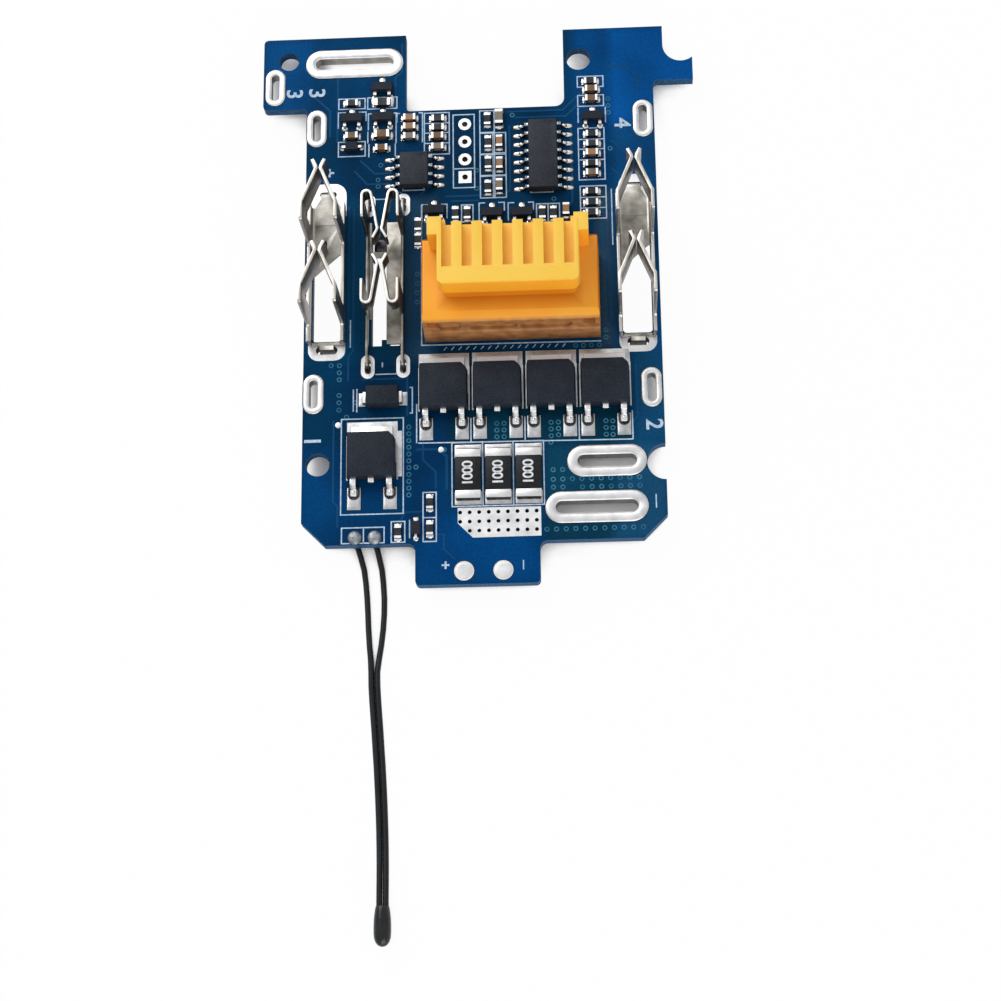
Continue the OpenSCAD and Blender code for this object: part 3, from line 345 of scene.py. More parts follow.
def joined(name, parts, look, rounded=True):
    """One piece of many closed parts, each a list of corners and a list of faces."""
    vertices, faces = [], []
    for corners, sides in parts:
        faces += [tuple(len(vertices) + v for v in side) for side in sides]
        vertices += corners
    piece = turn_outwards(link_mesh(name, vertices, faces, look))
    if rounded:
        smooth(piece, ROUND_ANGLE)
    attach(piece, "root")
    print(name, len(parts), "parts,", len(faces), "faces")
    return piece


# %% [markdown]
# ## Thermistor bead
# The bead is a drop of black epoxy that the wires were dipped in, so it is a turned form with soft
# shoulders, a little wider than the pair and glossy. A profile spun round the wires' line gives
# just that.

# %% Bead
# Epoxy that was dipped and left to flow: black, and glossy as a drop.
bead_black = plain_finish("dipped_epoxy", 1.5, "#0a0c0e", "#171c20", 0.8, 0.3, 0.08,
                          span=(0.3, 0.75), Roughness=0.2, Specular_IOR_Level=0.4)
BEAD_SEGMENTS = 32
# Fractions of the length from the wires' end, and of the radius.
BEAD_PROFILE = [(0, 0.76), (0.03, 0.8), (0.1, 0.86), (0.2, 0.92), (0.32, 0.97), (0.48, 1.0),
                (0.66, 1.0), (0.78, 0.95), (0.88, 0.8), (0.95, 0.56), (0.985, 0.3)]


def bead():
    """The bead: rings of points along the board, closed at both ends."""
    low, high = box_of("ntc_bead")
    centre = middle((low, high))
    radius = (high.x - low.x) / 2
    length = high.y - low.y
    vertices = []
    for along, wide in BEAD_PROFILE:
        for k in range(BEAD_SEGMENTS):
            turn = 2 * math.pi * k / BEAD_SEGMENTS
            vertices.append((centre.x + radius * wide * math.cos(turn), high.y - along * length,
                             centre.z + radius * wide * math.sin(turn)))
    faces = [tuple(reversed(range(BEAD_SEGMENTS)))]
    last = (len(BEAD_PROFILE) - 1) * BEAD_SEGMENTS
    for a in range(0, last, BEAD_SEGMENTS):
        b = a + BEAD_SEGMENTS
        for k in range(BEAD_SEGMENTS):
            n = (k + 1) % BEAD_SEGMENTS
            faces.append((a + k, a + n, b + n, b + k))
    tip = len(vertices)
    vertices.append((centre.x, low.y, centre.z))
    faces += [(last + k, last + (k + 1) % BEAD_SEGMENTS, tip) for k in range(BEAD_SEGMENTS)]
    piece = turn_outwards(link_mesh("thermistor_bead", vertices, faces, bead_black))
    smooth(piece, 50)
    return piece


bead_piece = bead()
for piece, node, slot in ((left_lead, "ntc_lead_left", "lead_insulation"),
                          (right_lead, "ntc_lead_right", "lead_insulation"),
                          (bead_piece, "ntc_bead", "bead_epoxy")):
    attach(piece, "root")
    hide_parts(node)
print("bead", [round(v / MM, 2) for v in bead_piece.dimensions])

# %% [markdown]
# ## Floor, world and lamps
# Small goods are shot on a white sheet under a large soft lamp. The floor is plain and pale, and
# the white behind the board comes from the floor's own colour as the camera sees it, not from more
# light: a Light Path node lets the camera see mostly white and keeps a trace of the shadow. Down in
# a narrow slot the sheet stays grey, because an Ambient Occlusion node takes the white away where
# little sky reaches it. In the clips' wide windows and the long slot, zones paint the full white
# back on whatever light gets down, and in a few deep slots zones take more of the white away, so
# more of their shade shows. The lamp stands well to the back, so that level tin mirrors the room
# and not the lamp.

# %% Floor
scene.view_settings.view_transform = "Standard"

SKY_REACH = 8                        # millimetres round a place that can shade it
SHADED, OPEN = 0.3, 0.49             # the share of the sky that counts as none and as all
WHITE_SHARE = (0.05, 0.96)           # in a narrow slot, and on the open sheet
# Corners, in millimetres, of the openings where light falls through, and where zones paint the
# sheet fully white.
WINDOWS = [(-23.0, 26.0, -17.4, 47.5), (17.0, 26.0, 23.5, 47.5), (-15.5, 25.0, -9.0, 47.5),
           (-20.5, 63.0, -6.0, 69.0)]
# Where the side screw hole, the lowest bus slot and the cell slots keep the sheet in shade.
WELLS = [(-22.3, 10.0, -19.5, 13.2), (9.2, 3.9, 19.2, 6.4), (-22.6, 18.6, -20.6, 23.4),
         (-28.1, 62.2, -26.3, 67.0), (-22.6, 56.0, -20.6, 60.8), (20.5, 18.4, 22.6, 23.0)]
WELL_SHADE = 0.32

floor_paint, tree, shader = material("white_paper", Base_Color="#f4f4f4", Roughness=0.9)
open_sky = add(tree, "ShaderNodeAmbientOcclusion", {"Distance": SKY_REACH * MM}, samples=8)["AO"]
reach = add(tree, "ShaderNodeMapRange", {
    "Value": open_sky, "From Min": SHADED, "From Max": OPEN})[0]
for corners in WINDOWS:
    reach = add(tree, "ShaderNodeMath", {0: reach, 1: zone(tree, *corners)},
                operation="MAXIMUM")[0]
for corners in WELLS:
    reach = add(tree, "ShaderNodeMath", {0: zone(tree, *corners), 1: -WELL_SHADE, 2: reach},
                operation="MULTIPLY_ADD")[0]
whiteness = add(tree, "ShaderNodeMapRange", {
    "Value": reach, "To Min": WHITE_SHARE[0], "To Max": WHITE_SHARE[1]})[0]
seen = add(tree, "ShaderNodeLightPath")
either = add(tree, "ShaderNodeMath", {0: seen["Is Camera Ray"], 1: seen["Is Glossy Ray"]},
             operation="MAXIMUM")[0]
share = add(tree, "ShaderNodeMath", {0: either, 1: whiteness}, operation="MULTIPLY")[0]
glow = add(tree, "ShaderNodeEmission", {"Color": "#ffffff", "Strength": 1.0})[0]
blend = add(tree, "ShaderNodeMixShader", {0: share, 1: shader.outputs[0], 2: glow})[0]
fill(tree, tree.nodes["Material Output"].inputs["Surface"], blend)
FLOOR = 3.0                          # metres from the middle to each side
floor = link_mesh("floor", [(-FLOOR, -FLOOR, 0), (FLOOR, -FLOOR, 0), (FLOOR, FLOOR, 0),
                            (-FLOOR, FLOOR, 0)], [(0, 1, 2, 3)], floor_paint)
print("floor with", len(WINDOWS), "windows and", len(WELLS), "wells")

# %% World
AMBIENT = 0.5                        # what the white room adds to every surface
SEEN = 1.0                           # as the camera sees it
MIRRORED = 0.72                      # as metal shows it

world = bpy.data.worlds.new("studio")
scene.world = world
world.use_nodes = True
tree = world.node_tree
sky = tree.nodes["Background"].inputs
paths = add(tree, "ShaderNodeLightPath")
level = AMBIENT
for ray, strength in (("Is Camera Ray", SEEN), ("Is Glossy Ray", MIRRORED)):
    level = add(tree, "ShaderNodeMath", {0: paths[ray], 1: strength - AMBIENT, 2: level},
                operation="MULTIPLY_ADD")[0]
fill(tree, sky["Color"], "#ffffff")
fill(tree, sky["Strength"], level)


def lamp(name, place, target, size, power):
    """A square soft lamp that looks at target."""
    data = bpy.data.lights.new(name, "AREA")
    data.size = size
    data.energy = power
    piece = bpy.data.objects.new(name, data)
    piece.location = place
    piece.rotation_euler = (Vector(target) - Vector(place)).to_track_quat("-Z", "Y").to_euler()
    scene.collection.objects.link(piece)
    return piece


CENTRE = at(0, 30)
lamp("key_softbox", (-0.35, 0.5, 0.5), CENTRE, 0.7, 3.95)
lamp("front_softbox", (0.15, -0.6, 0.2), CENTRE, 0.6, 2.6)
print("lamps placed")

# %% [markdown]
# ## Solder mask
# Solder mask is a thin epoxy ink over copper and glass laminate. It is deep blue, satin, and takes
# part of its tone from what lies under it: whole copper makes it brighter, bare laminate duller,
# and many small tracks and holes greener. So the ink is mixed zone by zone, each zone a rectangle
# of the board with its own tone. Those tones also hold painted light: the strips each side of the
# socket are painted lighter against the socket's shade, and the zones round it are partly painted
# light as well. Then the ink gets its slow drift, a fine orange peel, and a paler cut edge where
# the saw went through the glass.

# %% Solder mask material
# Each zone: its corners in millimetres and its tone, the ink's own tone with painted light in it.
INK_AND_LIGHT_ZONES = [
    (-23, 13.0, -18.6, 57.0, "#00426a"), (-23, 0, -8.7, 13.2, "#00457a"),
    (-8.7, -5.2, 7.6, 4.4, "#004884"), (-8.7, 4.4, -4.2, 17.0, "#004478"),
    (7.8, 0, 16.5, 13.0, "#0c4662"), (16.5, 0, 23, 13.0, "#1b567d"),
    (-4.2, 13.2, 19.0, 25.4, "#063d55"), (19.0, 13.0, 29, 26.0, "#114f78"),
    (-18.6, 24.6, -10.6, 47.4, "#054d76"), (-10.6, 24.6, -6.0, 47.4, "#2a577c"),
    (15.1, 25.4, 17.2, 47.4, "#355876"), (17.2, 25.4, 29, 57, "#0d5690"),
    (12.5, 48.5, 17.2, 71, "#014a86"), (17.2, 57, 29, 71, "#035daa"),
    (-22, 57.0, -8, 71, "#004777"), (-29, 57.0, -22, 71, "#04508c"),
]

mask_blue, tree, shader = material(
    "solder_mask_on_glass_epoxy", Roughness=0.45, Specular_IOR_Level=0.03)
ink = "#013f68"
for *corners, tone in INK_AND_LIGHT_ZONES:
    ink = add(tree, "ShaderNodeMix", {0: zone(tree, *corners), 6: ink, 7: tone},
              data_type="RGBA")[2]
for amount, cloud in (
        (0.5, drift(tree, 9.0, "#4c4c4c", "#b8b8b8", (0.32, 0.68), 1.0)),
        (0.22, drift(tree, 0.35, "#2f3a44", "#a8bccf", (0.35, 0.7), 3.0))):
    ink = add(tree, "ShaderNodeMix", {0: amount, 6: ink, 7: cloud},
              data_type="RGBA", blend_type="OVERLAY")[2]
up = add(tree, "ShaderNodeMath", {0: facing(tree)["Z"]}, operation="ABSOLUTE")[0]
is_edge = add(tree, "ShaderNodeMath", {0: up, 1: 0.5}, operation="LESS_THAN")[0]
cut = drift(tree, 0.3, "#173e61", "#375d80")
tint = add(tree, "ShaderNodeMix", {0: is_edge, 6: ink, 7: cut}, data_type="RGBA")[2]
coat(tree, shader, tint, 0.5, 0.12, 0.03, detail=4.0)
print("mask in", len(INK_AND_LIGHT_ZONES), "zones, peel 0.5 mm")

# %% Covered copper, tented vias and bare laminate
# Mask over copper is a shade lighter, over a via's ring it is stretched thin and pale, and where
# it stops short of a land the laminate shows nearly black.
copper_under_mask = plain_finish("solder_mask_on_copper", 9.0, "#04406a", "#0c4c7a", 0.5, 0.1, 0.03,
                                 Roughness=0.42, Specular_IOR_Level=0.08)
tented_copper = plain_finish("tented_via", 2.0, "#22627e", "#43839c", 0.3, 0.2, 0.02,
                             span=(0.35, 0.7), Roughness=0.4, Specular_IOR_Level=0.15)
bare_laminate = plain_finish("laminate_without_mask", 0.4, "#07121c", "#12222f", 0.2, 0.3, 0.02,
                             Roughness=0.6, Specular_IOR_Level=0.15)
print("covered copper, tented copper, bare laminate")

# %% [markdown]
# ## Tin, solder and spring sheet
# Tin plate is a white metal that dulls to satin. Solder is the same metal frozen from a pool, so
# it is rounder and slightly dimpled. The clips are spring bronze that was tinned before it was
# pressed, which leaves a warmer grey. On such small things a level face mirrors the bright lamp and
# an upright one mirrors the dark board next to it, so every metal here gets a level tone and a
# darker one for its steep faces.

# %% Metals


def metal(name, level, steep, size, roughness, grain, depth):
    """A metal: two tones for level faces, two for steep ones, patches of size millimetres."""
    made, tree, shader = material(name, Metallic=1.0, Roughness=roughness)
    tint = add(tree, "ShaderNodeMix", {
        0: steepness(tree), 6: drift(tree, size, *level, detail=3.0),
        7: drift(tree, size, *steep, detail=3.0)}, data_type="RGBA")[2]
    coat(tree, shader, tint, grain, 0.3, depth, detail=3.0)
    return made


# Plated tin on small leads and end caps: white and satin.
tin_plate = metal("tin_plate", ("#d6d6d8", "#f6f6f6"), ("#45464b", "#7b7c80"),
                  1.2, 0.4, 0.4, 0.03)
# Dipped tin on the power parts: smooth, so it mirrors the white room.
bright_tin = metal("bright_tin", ("#f0efee", "#ffffff"), ("#606165", "#97979b"),
                   1.4, 0.22, 0.4, 0.02)
# Tin levelled by hot air: it lies in soft waves and shines softly.
levelled_tin = metal("hot_air_levelled_tin", ("#cbccce", "#ebebec"), ("#7d7a76", "#a39f9a"),
                     1.6, 0.4, 0.9, 0.05)
# The same tin spread thin over a large land: greyer.
land_tin = metal("tin_on_lands", ("#a9aaad", "#cdced1"), ("#6d6d70", "#939396"),
                 1.1, 0.36, 0.7, 0.05)
# Solder that melted under a part: rounder and shinier than tin.
reflowed_solder = metal("reflowed_solder", ("#d2d3d5", "#f8f8f8"), ("#3c3e42", "#75777b"),
                        0.8, 0.25, 0.5, 0.07)
# Solder beside a black body mirrors the body, so it is dark.
shaded_solder = metal("solder_in_shade", ("#2c2d30", "#5b5c60"), ("#151618", "#303134"),
                      0.5, 0.3, 0.4, 0.05)
# A chip's leads stand in the shade of the chip: a dull grey.
lead_shade = metal("lead_frame_under_a_body", ("#6d6f73", "#96989c"), ("#26272a", "#4a4b4f"),
                   0.6, 0.35, 0.4, 0.03)
# A joint made by hand cools slowly, so it is grey and grainy.
dull_solder = metal("hand_soldered_joint", ("#747b80", "#a8aeb3"), ("#30363b", "#525a60"),
                    0.5, 0.45, 0.35, 0.16)
# Thin tin on bronze: the warm metal comes through.
contact_bronze = metal("tinned_contact_bronze", ("#b9a67c", "#d8cba6"), ("#5d5138", "#8d7f5c"),
                       1.0, 0.32, 0.4, 0.02)

# %% Duller tin beside the socket
# Beside the tall socket the tabs are duller: less metallic and rougher, so in the socket's shade
# they show diffuse light instead of mirroring the dark, which is painted light.
BESIDE_SOCKET = (-9.5, 22.6, 19.5, 27.0)
tree = bright_tin.node_tree
beside = zone(tree, *BESIDE_SOCKET)
for name, clear, dull in (("Metallic", 0.75, 0.1), ("Roughness", 0.22, 0.6)):
    value = add(tree, "ShaderNodeMath", {0: beside, 1: dull - clear, 2: clear},
                operation="MULTIPLY_ADD")[0]
    fill(tree, tree.nodes["Principled BSDF"].inputs[name], value)
print("tin is duller between", BESIDE_SOCKET[0], "and", BESIDE_SOCKET[2], "mm")

# %% Spring sheet
ROLLED = {"detail": 3.0, "stretch": (1.0, 0.12, 1.0)}   # grain drawn out along the sheet
ROLLED_GRAIN, PATCH_SIZE = 0.35, 2.4      # millimetres
FLOOR_FADE = 0.1                     # millimetres


def spring_sheet(name, floor_height, edge, floor, flank):
    """Tinned spring sheet: bright level edges, dark upright flanks and a darker floor up to a
    height, as painted light and painted shade, in random patches.
    """
    made, tree, shader = material(name, Metallic=1.0, Roughness=0.38)
    # The darker floor tones under the floor height and the dark flank tones are painted shade.
    floor_patches = patches(tree, PATCH_SIZE, detail=3.0)
    painted_floor_shade = add(tree, "ShaderNodeValToRGB", {"Fac": floor_patches},
                 list(zip((0.32, 0.5, 0.7), floor)))[0]
    level = add(tree, "ShaderNodeMix", {
        0: between(tree, "Z", floor_height + FLOOR_FADE, floor_height),
        6: drift(tree, ROLLED_GRAIN, *edge, **ROLLED), 7: painted_floor_shade}, data_type="RGBA")[2]
    side = add(tree, "ShaderNodeMix", {
        0: 0.5, 6: drift(tree, PATCH_SIZE, *flank, (0.35, 0.7), 3.0),
        7: drift(tree, ROLLED_GRAIN, *flank, **ROLLED)}, data_type="RGBA")[2]
    tint = add(tree, "ShaderNodeMix", {0: steepness(tree), 6: level, 7: side},
               data_type="RGBA")[2]
    coat(tree, shader, tint, ROLLED_GRAIN, 0.15, 0.02, **ROLLED)
    return made


# Edge tones for the level faces, then the floor and flank tones, which are painted shade.
spring_bronze = spring_sheet("tinned_spring_bronze", 0.45, ("#b5b1a9", "#dedad3"),
                             ("#7c7872", "#aaa69e", "#d2cfc8"), ("#787673", "#bab8b4"))
charge_strip = spring_sheet("tinned_charge_strip", 3.2, ("#c9c6bf", "#eeebe5"),
                            ("#68655f", "#96928a", "#b9b6ae"), ("#3b3834", "#827e76"))
print("eleven metals")

# %% [markdown]
# ## Plastics and ceramics
# The socket is glass-filled nylon in signal yellow. Its colour is painted with light and shade:
# painted brightest at its top, where light comes in from all sides, and painted orange on its
# front, which is in shade. Where the head stands on the ledge it shades itself, and that shade is
# painted in, and low on its front a painted brown shade darkens the wall. Transistors and chips are
# moulded in black epoxy with a fine blasted grain. Chip capacitors are fired ceramic in tans and
# browns that differ from batch to batch, and noise wider than one chip but narrower than their
# spacing gives each its own tone.

# %% Yellow nylon
DEEP, BRIGHT = 7.2, 11.6             # painted light brightens the nylon between these heights
HEAD_FOOT = (-4.6, 29.4, 12.6, 31.4)  # where the head stands on the ledge
HEAD_SHADE = (8.8, 8.0)              # heights between which that painted shade comes in
LOW_FRONT_SHADE = (6.4, 6.1)               # and the painted brown shade low on the front
FRONT_WALL = (28.1, 27.9)            # that painted shade ends here, up from the board's edge
FLOW = 7.0

yellow_nylon, tree, shader = material(
    "moulded_yellow_nylon", Roughness=0.42, Specular_IOR_Level=0.3)
front = add(tree, "ShaderNodeMapRange", {
    "Value": facing(tree)["Y"], "From Min": -0.3, "From Max": -0.8})[0]
foot = add(tree, "ShaderNodeMath", {
    0: zone(tree, *HEAD_FOOT), 1: between(tree, "Z", *HEAD_SHADE)}, operation="MULTIPLY")[0]
low_front = add(tree, "ShaderNodeMath", {
    0: between(tree, "Z", *LOW_FRONT_SHADE), 1: between(tree, "Y", *FRONT_WALL)},
    operation="MULTIPLY")[0]
# The tones by height, by facing, at the head's foot and low on the front are painted light and
# painted shade.
tint = drift(tree, FLOW, "#f5a32b", "#f9ad36")
for where, tone in (
        (between(tree, "Z", DEEP, BRIGHT), drift(tree, FLOW, "#f8c747", "#fccf54")),
        (front, drift(tree, FLOW, "#f8a524", "#fcb030")),
        (foot, drift(tree, FLOW, "#cf7a10", "#d8841a")),
        (low_front, drift(tree, 1.4, "#8f5c31", "#b27a48", (0.35, 0.65)))):
    tint = add(tree, "ShaderNodeMix", {0: where, 6: tint, 7: tone}, data_type="RGBA")[2]
coat(tree, shader, tint, 0.25, 0.12, 0.02, detail=3.0)
print("nylon brightens from", DEEP, "to", BRIGHT, "mm")

# %% Moulded epoxy
BLASTED = 0.16                       # millimetres: the grain of a blasted mould


def epoxy(name, dark, light, speck):
    """Moulded epoxy with a blasted grain: two tones of drift and a light speck."""
    made, tree, shader = material(name, Roughness=0.55, Specular_IOR_Level=0.15)
    tint = add(tree, "ShaderNodeMix", {
        0: 0.35, 6: drift(tree, 2.5, dark, light),
        7: drift(tree, BLASTED, dark, speck, (0.35, 0.7), 3.0)}, data_type="RGBA")[2]
    coat(tree, shader, tint, BLASTED, 0.35, 0.03, detail=3.0)
    return made


moulded_epoxy = epoxy("blasted_black_epoxy", "#141922", "#222935", "#39414d")
chip_epoxy = epoxy("smooth_grey_epoxy", "#262a32", "#343941", "#4a515b")
print("two epoxies, grain", BLASTED, "mm")

# %% Coats, ceramic and inks
# The shunts' printed coat is black and satin, and a chip resistor's glass glaze is blacker and
# shines. The legend's ink is matt and thin, so the blue tints it, and the marks' ink is whiter.
shunt_black = plain_finish("printed_black_coat", 0.6, "#0b0c0f", "#1a1b20", 0.4, 0.2, 0.03,
                           Roughness=0.4, Specular_IOR_Level=0.25)
glazed_resistor = plain_finish("glazed_resistor", 1.5, "#15161a", "#33363c", 0.3, 0.15, 0.02,
                               span=(0.35, 0.7), Roughness=0.3, Specular_IOR_Level=0.3)

fired_ceramic, tree, shader = material(
    "fired_capacitor_ceramic", Roughness=0.5, Specular_IOR_Level=0.3)
tint = add(tree, "ShaderNodeValToRGB", {"Fac": patches(tree, 2.6, detail=0.0)}, [
    (0.35, "#75583e"), (0.47, "#8c7962"), (0.56, "#7d7c74"), (0.68, "#a17a58")])["Color"]
coat(tree, shader, tint, 0.2, 0.2, 0.02)

print_ink, tree, shader = material("white_legend_ink", Roughness=0.6, Specular_IOR_Level=0.3)
coat(tree, shader, drift(tree, 0.5, "#98b6d4", "#c9dcef", (0.3, 0.65), 3.0), 0.2, 0.3, 0.02)
marking_ink = plain_finish("printed_white_value", 0.4, "#c9ced4", "#f0f3f5", 0.2, 0.2, 0.01,
                           Roughness=0.6)
print(len(bpy.data.materials), "materials")

# %% [markdown]
# ## Softened edges
# No real moulding or pressing has a knife edge, and it is the bright line along a rounded edge that
# tells the eye what a thing is made of. Each main solid is copied, its loose triangles are welded
# and flat faces joined, and a bevel of a few hundredths of a millimetre rounds the edges. The copy
# then stands for the solid.

# %% Edge softening
WELD = 0.002                         # millimetres: corners closer than this are one
FLAT = 1.5                           # degrees: faces flatter than this are joined
EDGE_ANGLE = 28                      # degrees: sharper edges than this are rounded


def welded(node):
    """A bmesh copy of a solid with its loose triangles joined at their corners."""
    made = bmesh.new()
    made.from_mesh(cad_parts[node].data)
    bmesh.ops.remove_doubles(made, verts=made.verts, dist=WELD * MM)
    return made


def wear(mesh, look):
    """Gives a whole mesh one finish."""
    mesh.materials.clear()
    mesh.materials.append(look)
    for polygon in mesh.polygons:
        polygon.material_index = 0


def plain_mesh(piece):
    """Turns a piece with a live modifier into a plain mesh."""
    baked = bpy.data.meshes.new_from_object(
        piece.evaluated_get(bpy.context.evaluated_depsgraph_get()))
    piece.modifiers.clear()
    piece.data = baked


def softened(node, width, look, segments=2):
    """Copies a solid, rounds its edges by width millimetres, and lets the copy stand for it."""
    made = welded(node)
    bmesh.ops.dissolve_limit(made, angle_limit=math.radians(FLAT), verts=made.verts,
                             edges=made.edges)
    piece = link_mesh(node + "_soft", [], [], look)
    made.to_mesh(piece.data)
    made.free()
    wear(piece.data, look)
    rounding = piece.modifiers.new("rounding", "BEVEL")
    rounding.width = width * MM
    rounding.segments = segments
    rounding.limit_method = "ANGLE"
    rounding.angle_limit = math.radians(EDGE_ANGLE)
    plain_mesh(piece)
    smooth(piece, 40)
    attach(piece, "root")
    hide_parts(node)


softened("signal_housing", 0.14, yellow_nylon, segments=3)
for number in range(1, 6):
    softened(f"fet_body_{number}", 0.09, moulded_epoxy)
    softened(f"fet_leads_{number}", 0.05, bright_tin)
for number in range(1, 4):
    softened(f"shunt_body_{number}", 0.04, shunt_black)
    softened(f"shunt_ends_{number}", 0.03, levelled_tin)
softened("diode_body", 0.08, moulded_epoxy)
for node in ("balance_chip_body", "sense_chip_body"):
    softened(node, 0.08, chip_epoxy)
softened("diode_ends", 0.04, tin_plate)
for node in ("left_power_clip", "right_power_clip"):
    softened(node, 0.06, spring_bronze)
softened("charge_clip", 0.05, charge_strip)

# %% [markdown]
# ## Finishes for the solids that stay as they are
# The rest keep their own meshes: they are small, flat or hidden, and only need their finish.

# %% Finishes by node
FINISHES = {
    mask_blue: ["board"],
    levelled_tin: ["cell_slot_eyelets", "bus_slot_eyelets", "clip_eyelets", "charge_clip_eyelets",
                   "header_eyelets", "pin_eyelets", "lamp_lands", "tinned_land"],
    shaded_solder: ["chip_lands"],
    land_tin: ["power_lands"],
    lead_shade: ["balance_chip_leads", "sense_chip_leads"],
    tin_plate: ["small_transistor_leads", "resistor_ends", "capacitor_ends"],
    moulded_epoxy: ["small_transistor_bodies"],
    glazed_resistor: ["resistor_bodies"],
    fired_ceramic: ["capacitor_bodies"],
    contact_bronze: ["signal_contacts"],
    reflowed_solder: ["tail_joints"],
    dull_solder: ["ntc_joints"],
}
for look, nodes in FINISHES.items():
    for node in nodes:
        wear(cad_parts[node].data, look)
print(sum(len(nodes) for nodes in FINISHES.values()), "nodes finished as they are")

# %% [markdown]
# ## Finding the solids inside a node
# Many solids share one node, such as all the chip end caps. Their boxes tell where solder, domes
# and print have to go, so nothing about the layout is written twice.

# %% Boxes of a node's solids


def solids(*nodes):
    """The boxes, as (low, high), of the separate solids in some nodes."""
    boxes = []
    for node in nodes:
        made = welded(node)
        seen = set()
        for start in made.verts:
            if start in seen:
                continue
            seen.add(start)
            group, queue = [], [start]
            while queue:
                vertex = queue.pop()
                group.append(vertex.co.copy())
                for edge in vertex.link_edges:
                    other = edge.other_vert(vertex)
                    if other not in seen:
                        seen.add(other)
                        queue.append(other)
            boxes.append(tuple(Vector([choose(p[i] for p in group) for i in range(3)])
                               for choose in (min, max)))
        made.free()
    return boxes


print(len(solids("chip_lands")), "small lands,", len(solids("power_lands")), "large ones")

# %% [markdown]
# ## Scattering one shape many times
# Vias, solder domes and fillets are one small shape each, used hundreds of times. A Geometry Nodes
# tree places the shape on points, turns and scales it by attributes that the points carry, makes
# the copies real and gives them their finish. The result is kept as one plain mesh.

# %% Scatter tree


def scatter_tree():
    """Points in, real copies of a shape out; the shape, the finish and the size are inputs."""
    tree = bpy.data.node_groups.new("scatter", "GeometryNodeTree")
    for label, kind in (("Points", "Geometry"), ("Shape", "Object"), ("Finish", "Material"),
                        ("Size", "Float")):
        tree.interface.new_socket(label, in_out="INPUT", socket_type="NodeSocket" + kind)
    tree.interface.new_socket("Result", in_out="OUTPUT", socket_type="NodeSocketGeometry")
    given = add(tree, "NodeGroupInput")
    shape = add(tree, "GeometryNodeObjectInfo", {"Object": given["Shape"]})["Geometry"]
    turn, size = (add(tree, "GeometryNodeInputNamedAttribute", {"Name": label},
                      data_type="FLOAT_VECTOR")[0] for label in ("turn", "size"))
    scaled = add(tree, "ShaderNodeVectorMath", {0: size, "Scale": given["Size"]},
                 operation="SCALE")[0]
    placed = add(tree, "GeometryNodeInstanceOnPoints", {
        "Points": given["Points"], "Instance": shape, "Rotation": turn, "Scale": scaled})[0]
    real = add(tree, "GeometryNodeRealizeInstances", {0: placed})[0]
    done = add(tree, "GeometryNodeSetMaterial", {"Geometry": real, "Material": given["Finish"]})
    add(tree, "NodeGroupOutput", {0: done[0]})
    return tree


SCATTER = scatter_tree()


def scatter(name, shape, places, look, size=1.0):
    """Copies shape to each place; a place is (point, size in metres, turn about Z in radians)."""
    piece = mesh_object(name, [place[0] for place in places], [])
    for label, values in (("size", [place[1] for place in places]),
                          ("turn", [(0.0, 0.0, place[2]) for place in places])):
        layer = piece.data.attributes.new(label, "FLOAT_VECTOR", "POINT")
        layer.data.foreach_set("vector", [v for row in values for v in row])
    scene.collection.objects.link(piece)
    modifier = piece.modifiers.new("scatter", "NODES")
    modifier.node_group = SCATTER
    given = {"Shape": shape, "Finish": look, "Size": size}
    for item in SCATTER.interface.items_tree:
        if item.name in given:
            modifier[item.identifier] = given[item.name]
    plain_mesh(piece)
    smooth(piece, ROUND_ANGLE)
    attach(piece, "root")
    print(name, len(places), "copies,", len(piece.data.polygons), "faces")


# %% [markdown]
# ## Shapes to scatter
# A via is a low ring of copper under the mask. Tin on a large land is a pillow with steep rims, and
# a small blob of solder is half a ball. A fillet is the concave wedge that solder makes where a
# land meets the side of a part, and a plate is the patch of laminate that shows round a land.

# %% Shapes


def around(segments, k):
    """The direction of one of some even steps round a circle."""
    turn = 2 * math.pi * k / segments
    return math.cos(turn), math.sin(turn)


def ring_shape(inner=0.55, segments=20):
    """A low ring of radius 1 with a domed top of height 1, closed underneath."""
    profile = [(1.0, 0.0), (0.93, 0.7), (0.775, 1.0), (0.62, 0.7), (inner, 0.0)]
    vertices = [(r * x, r * y, z) for x, y in (around(segments, k) for k in range(segments))
                for r, z in profile]
    n = len(profile)
    faces = []
    for k in range(segments):
        a, b = k * n, (k + 1) % segments * n
        faces += [(a + j, b + j, b + (j + 1) % n, a + (j + 1) % n) for j in range(n)]
    return mesh_object("ring_shape", vertices, faces)


def pillow_shape(steps=8, power=4):
    """A pillow on the square from -1 to 1, with a flat underside."""
    line = [math.sin(math.pi / 2 * (2 * k / steps - 1)) for k in range(steps + 1)]
    vertices = [(x, y, ((1 - abs(x) ** power) * (1 - abs(y) ** power)) ** 0.5)
                for y in line for x in line]
    row = steps + 1
    faces = [(j * row + i, j * row + i + 1, (j + 1) * row + i + 1, (j + 1) * row + i)
             for j in range(steps) for i in range(steps)]
    rim = ([i for i in range(row)] + [j * row + steps for j in range(1, row)]
           + [steps * row + i for i in range(steps - 1, -1, -1)]
           + [j * row for j in range(steps - 1, 0, -1)])
    faces.append(tuple(reversed(rim)))
    return mesh_object("pillow_shape", vertices, faces)


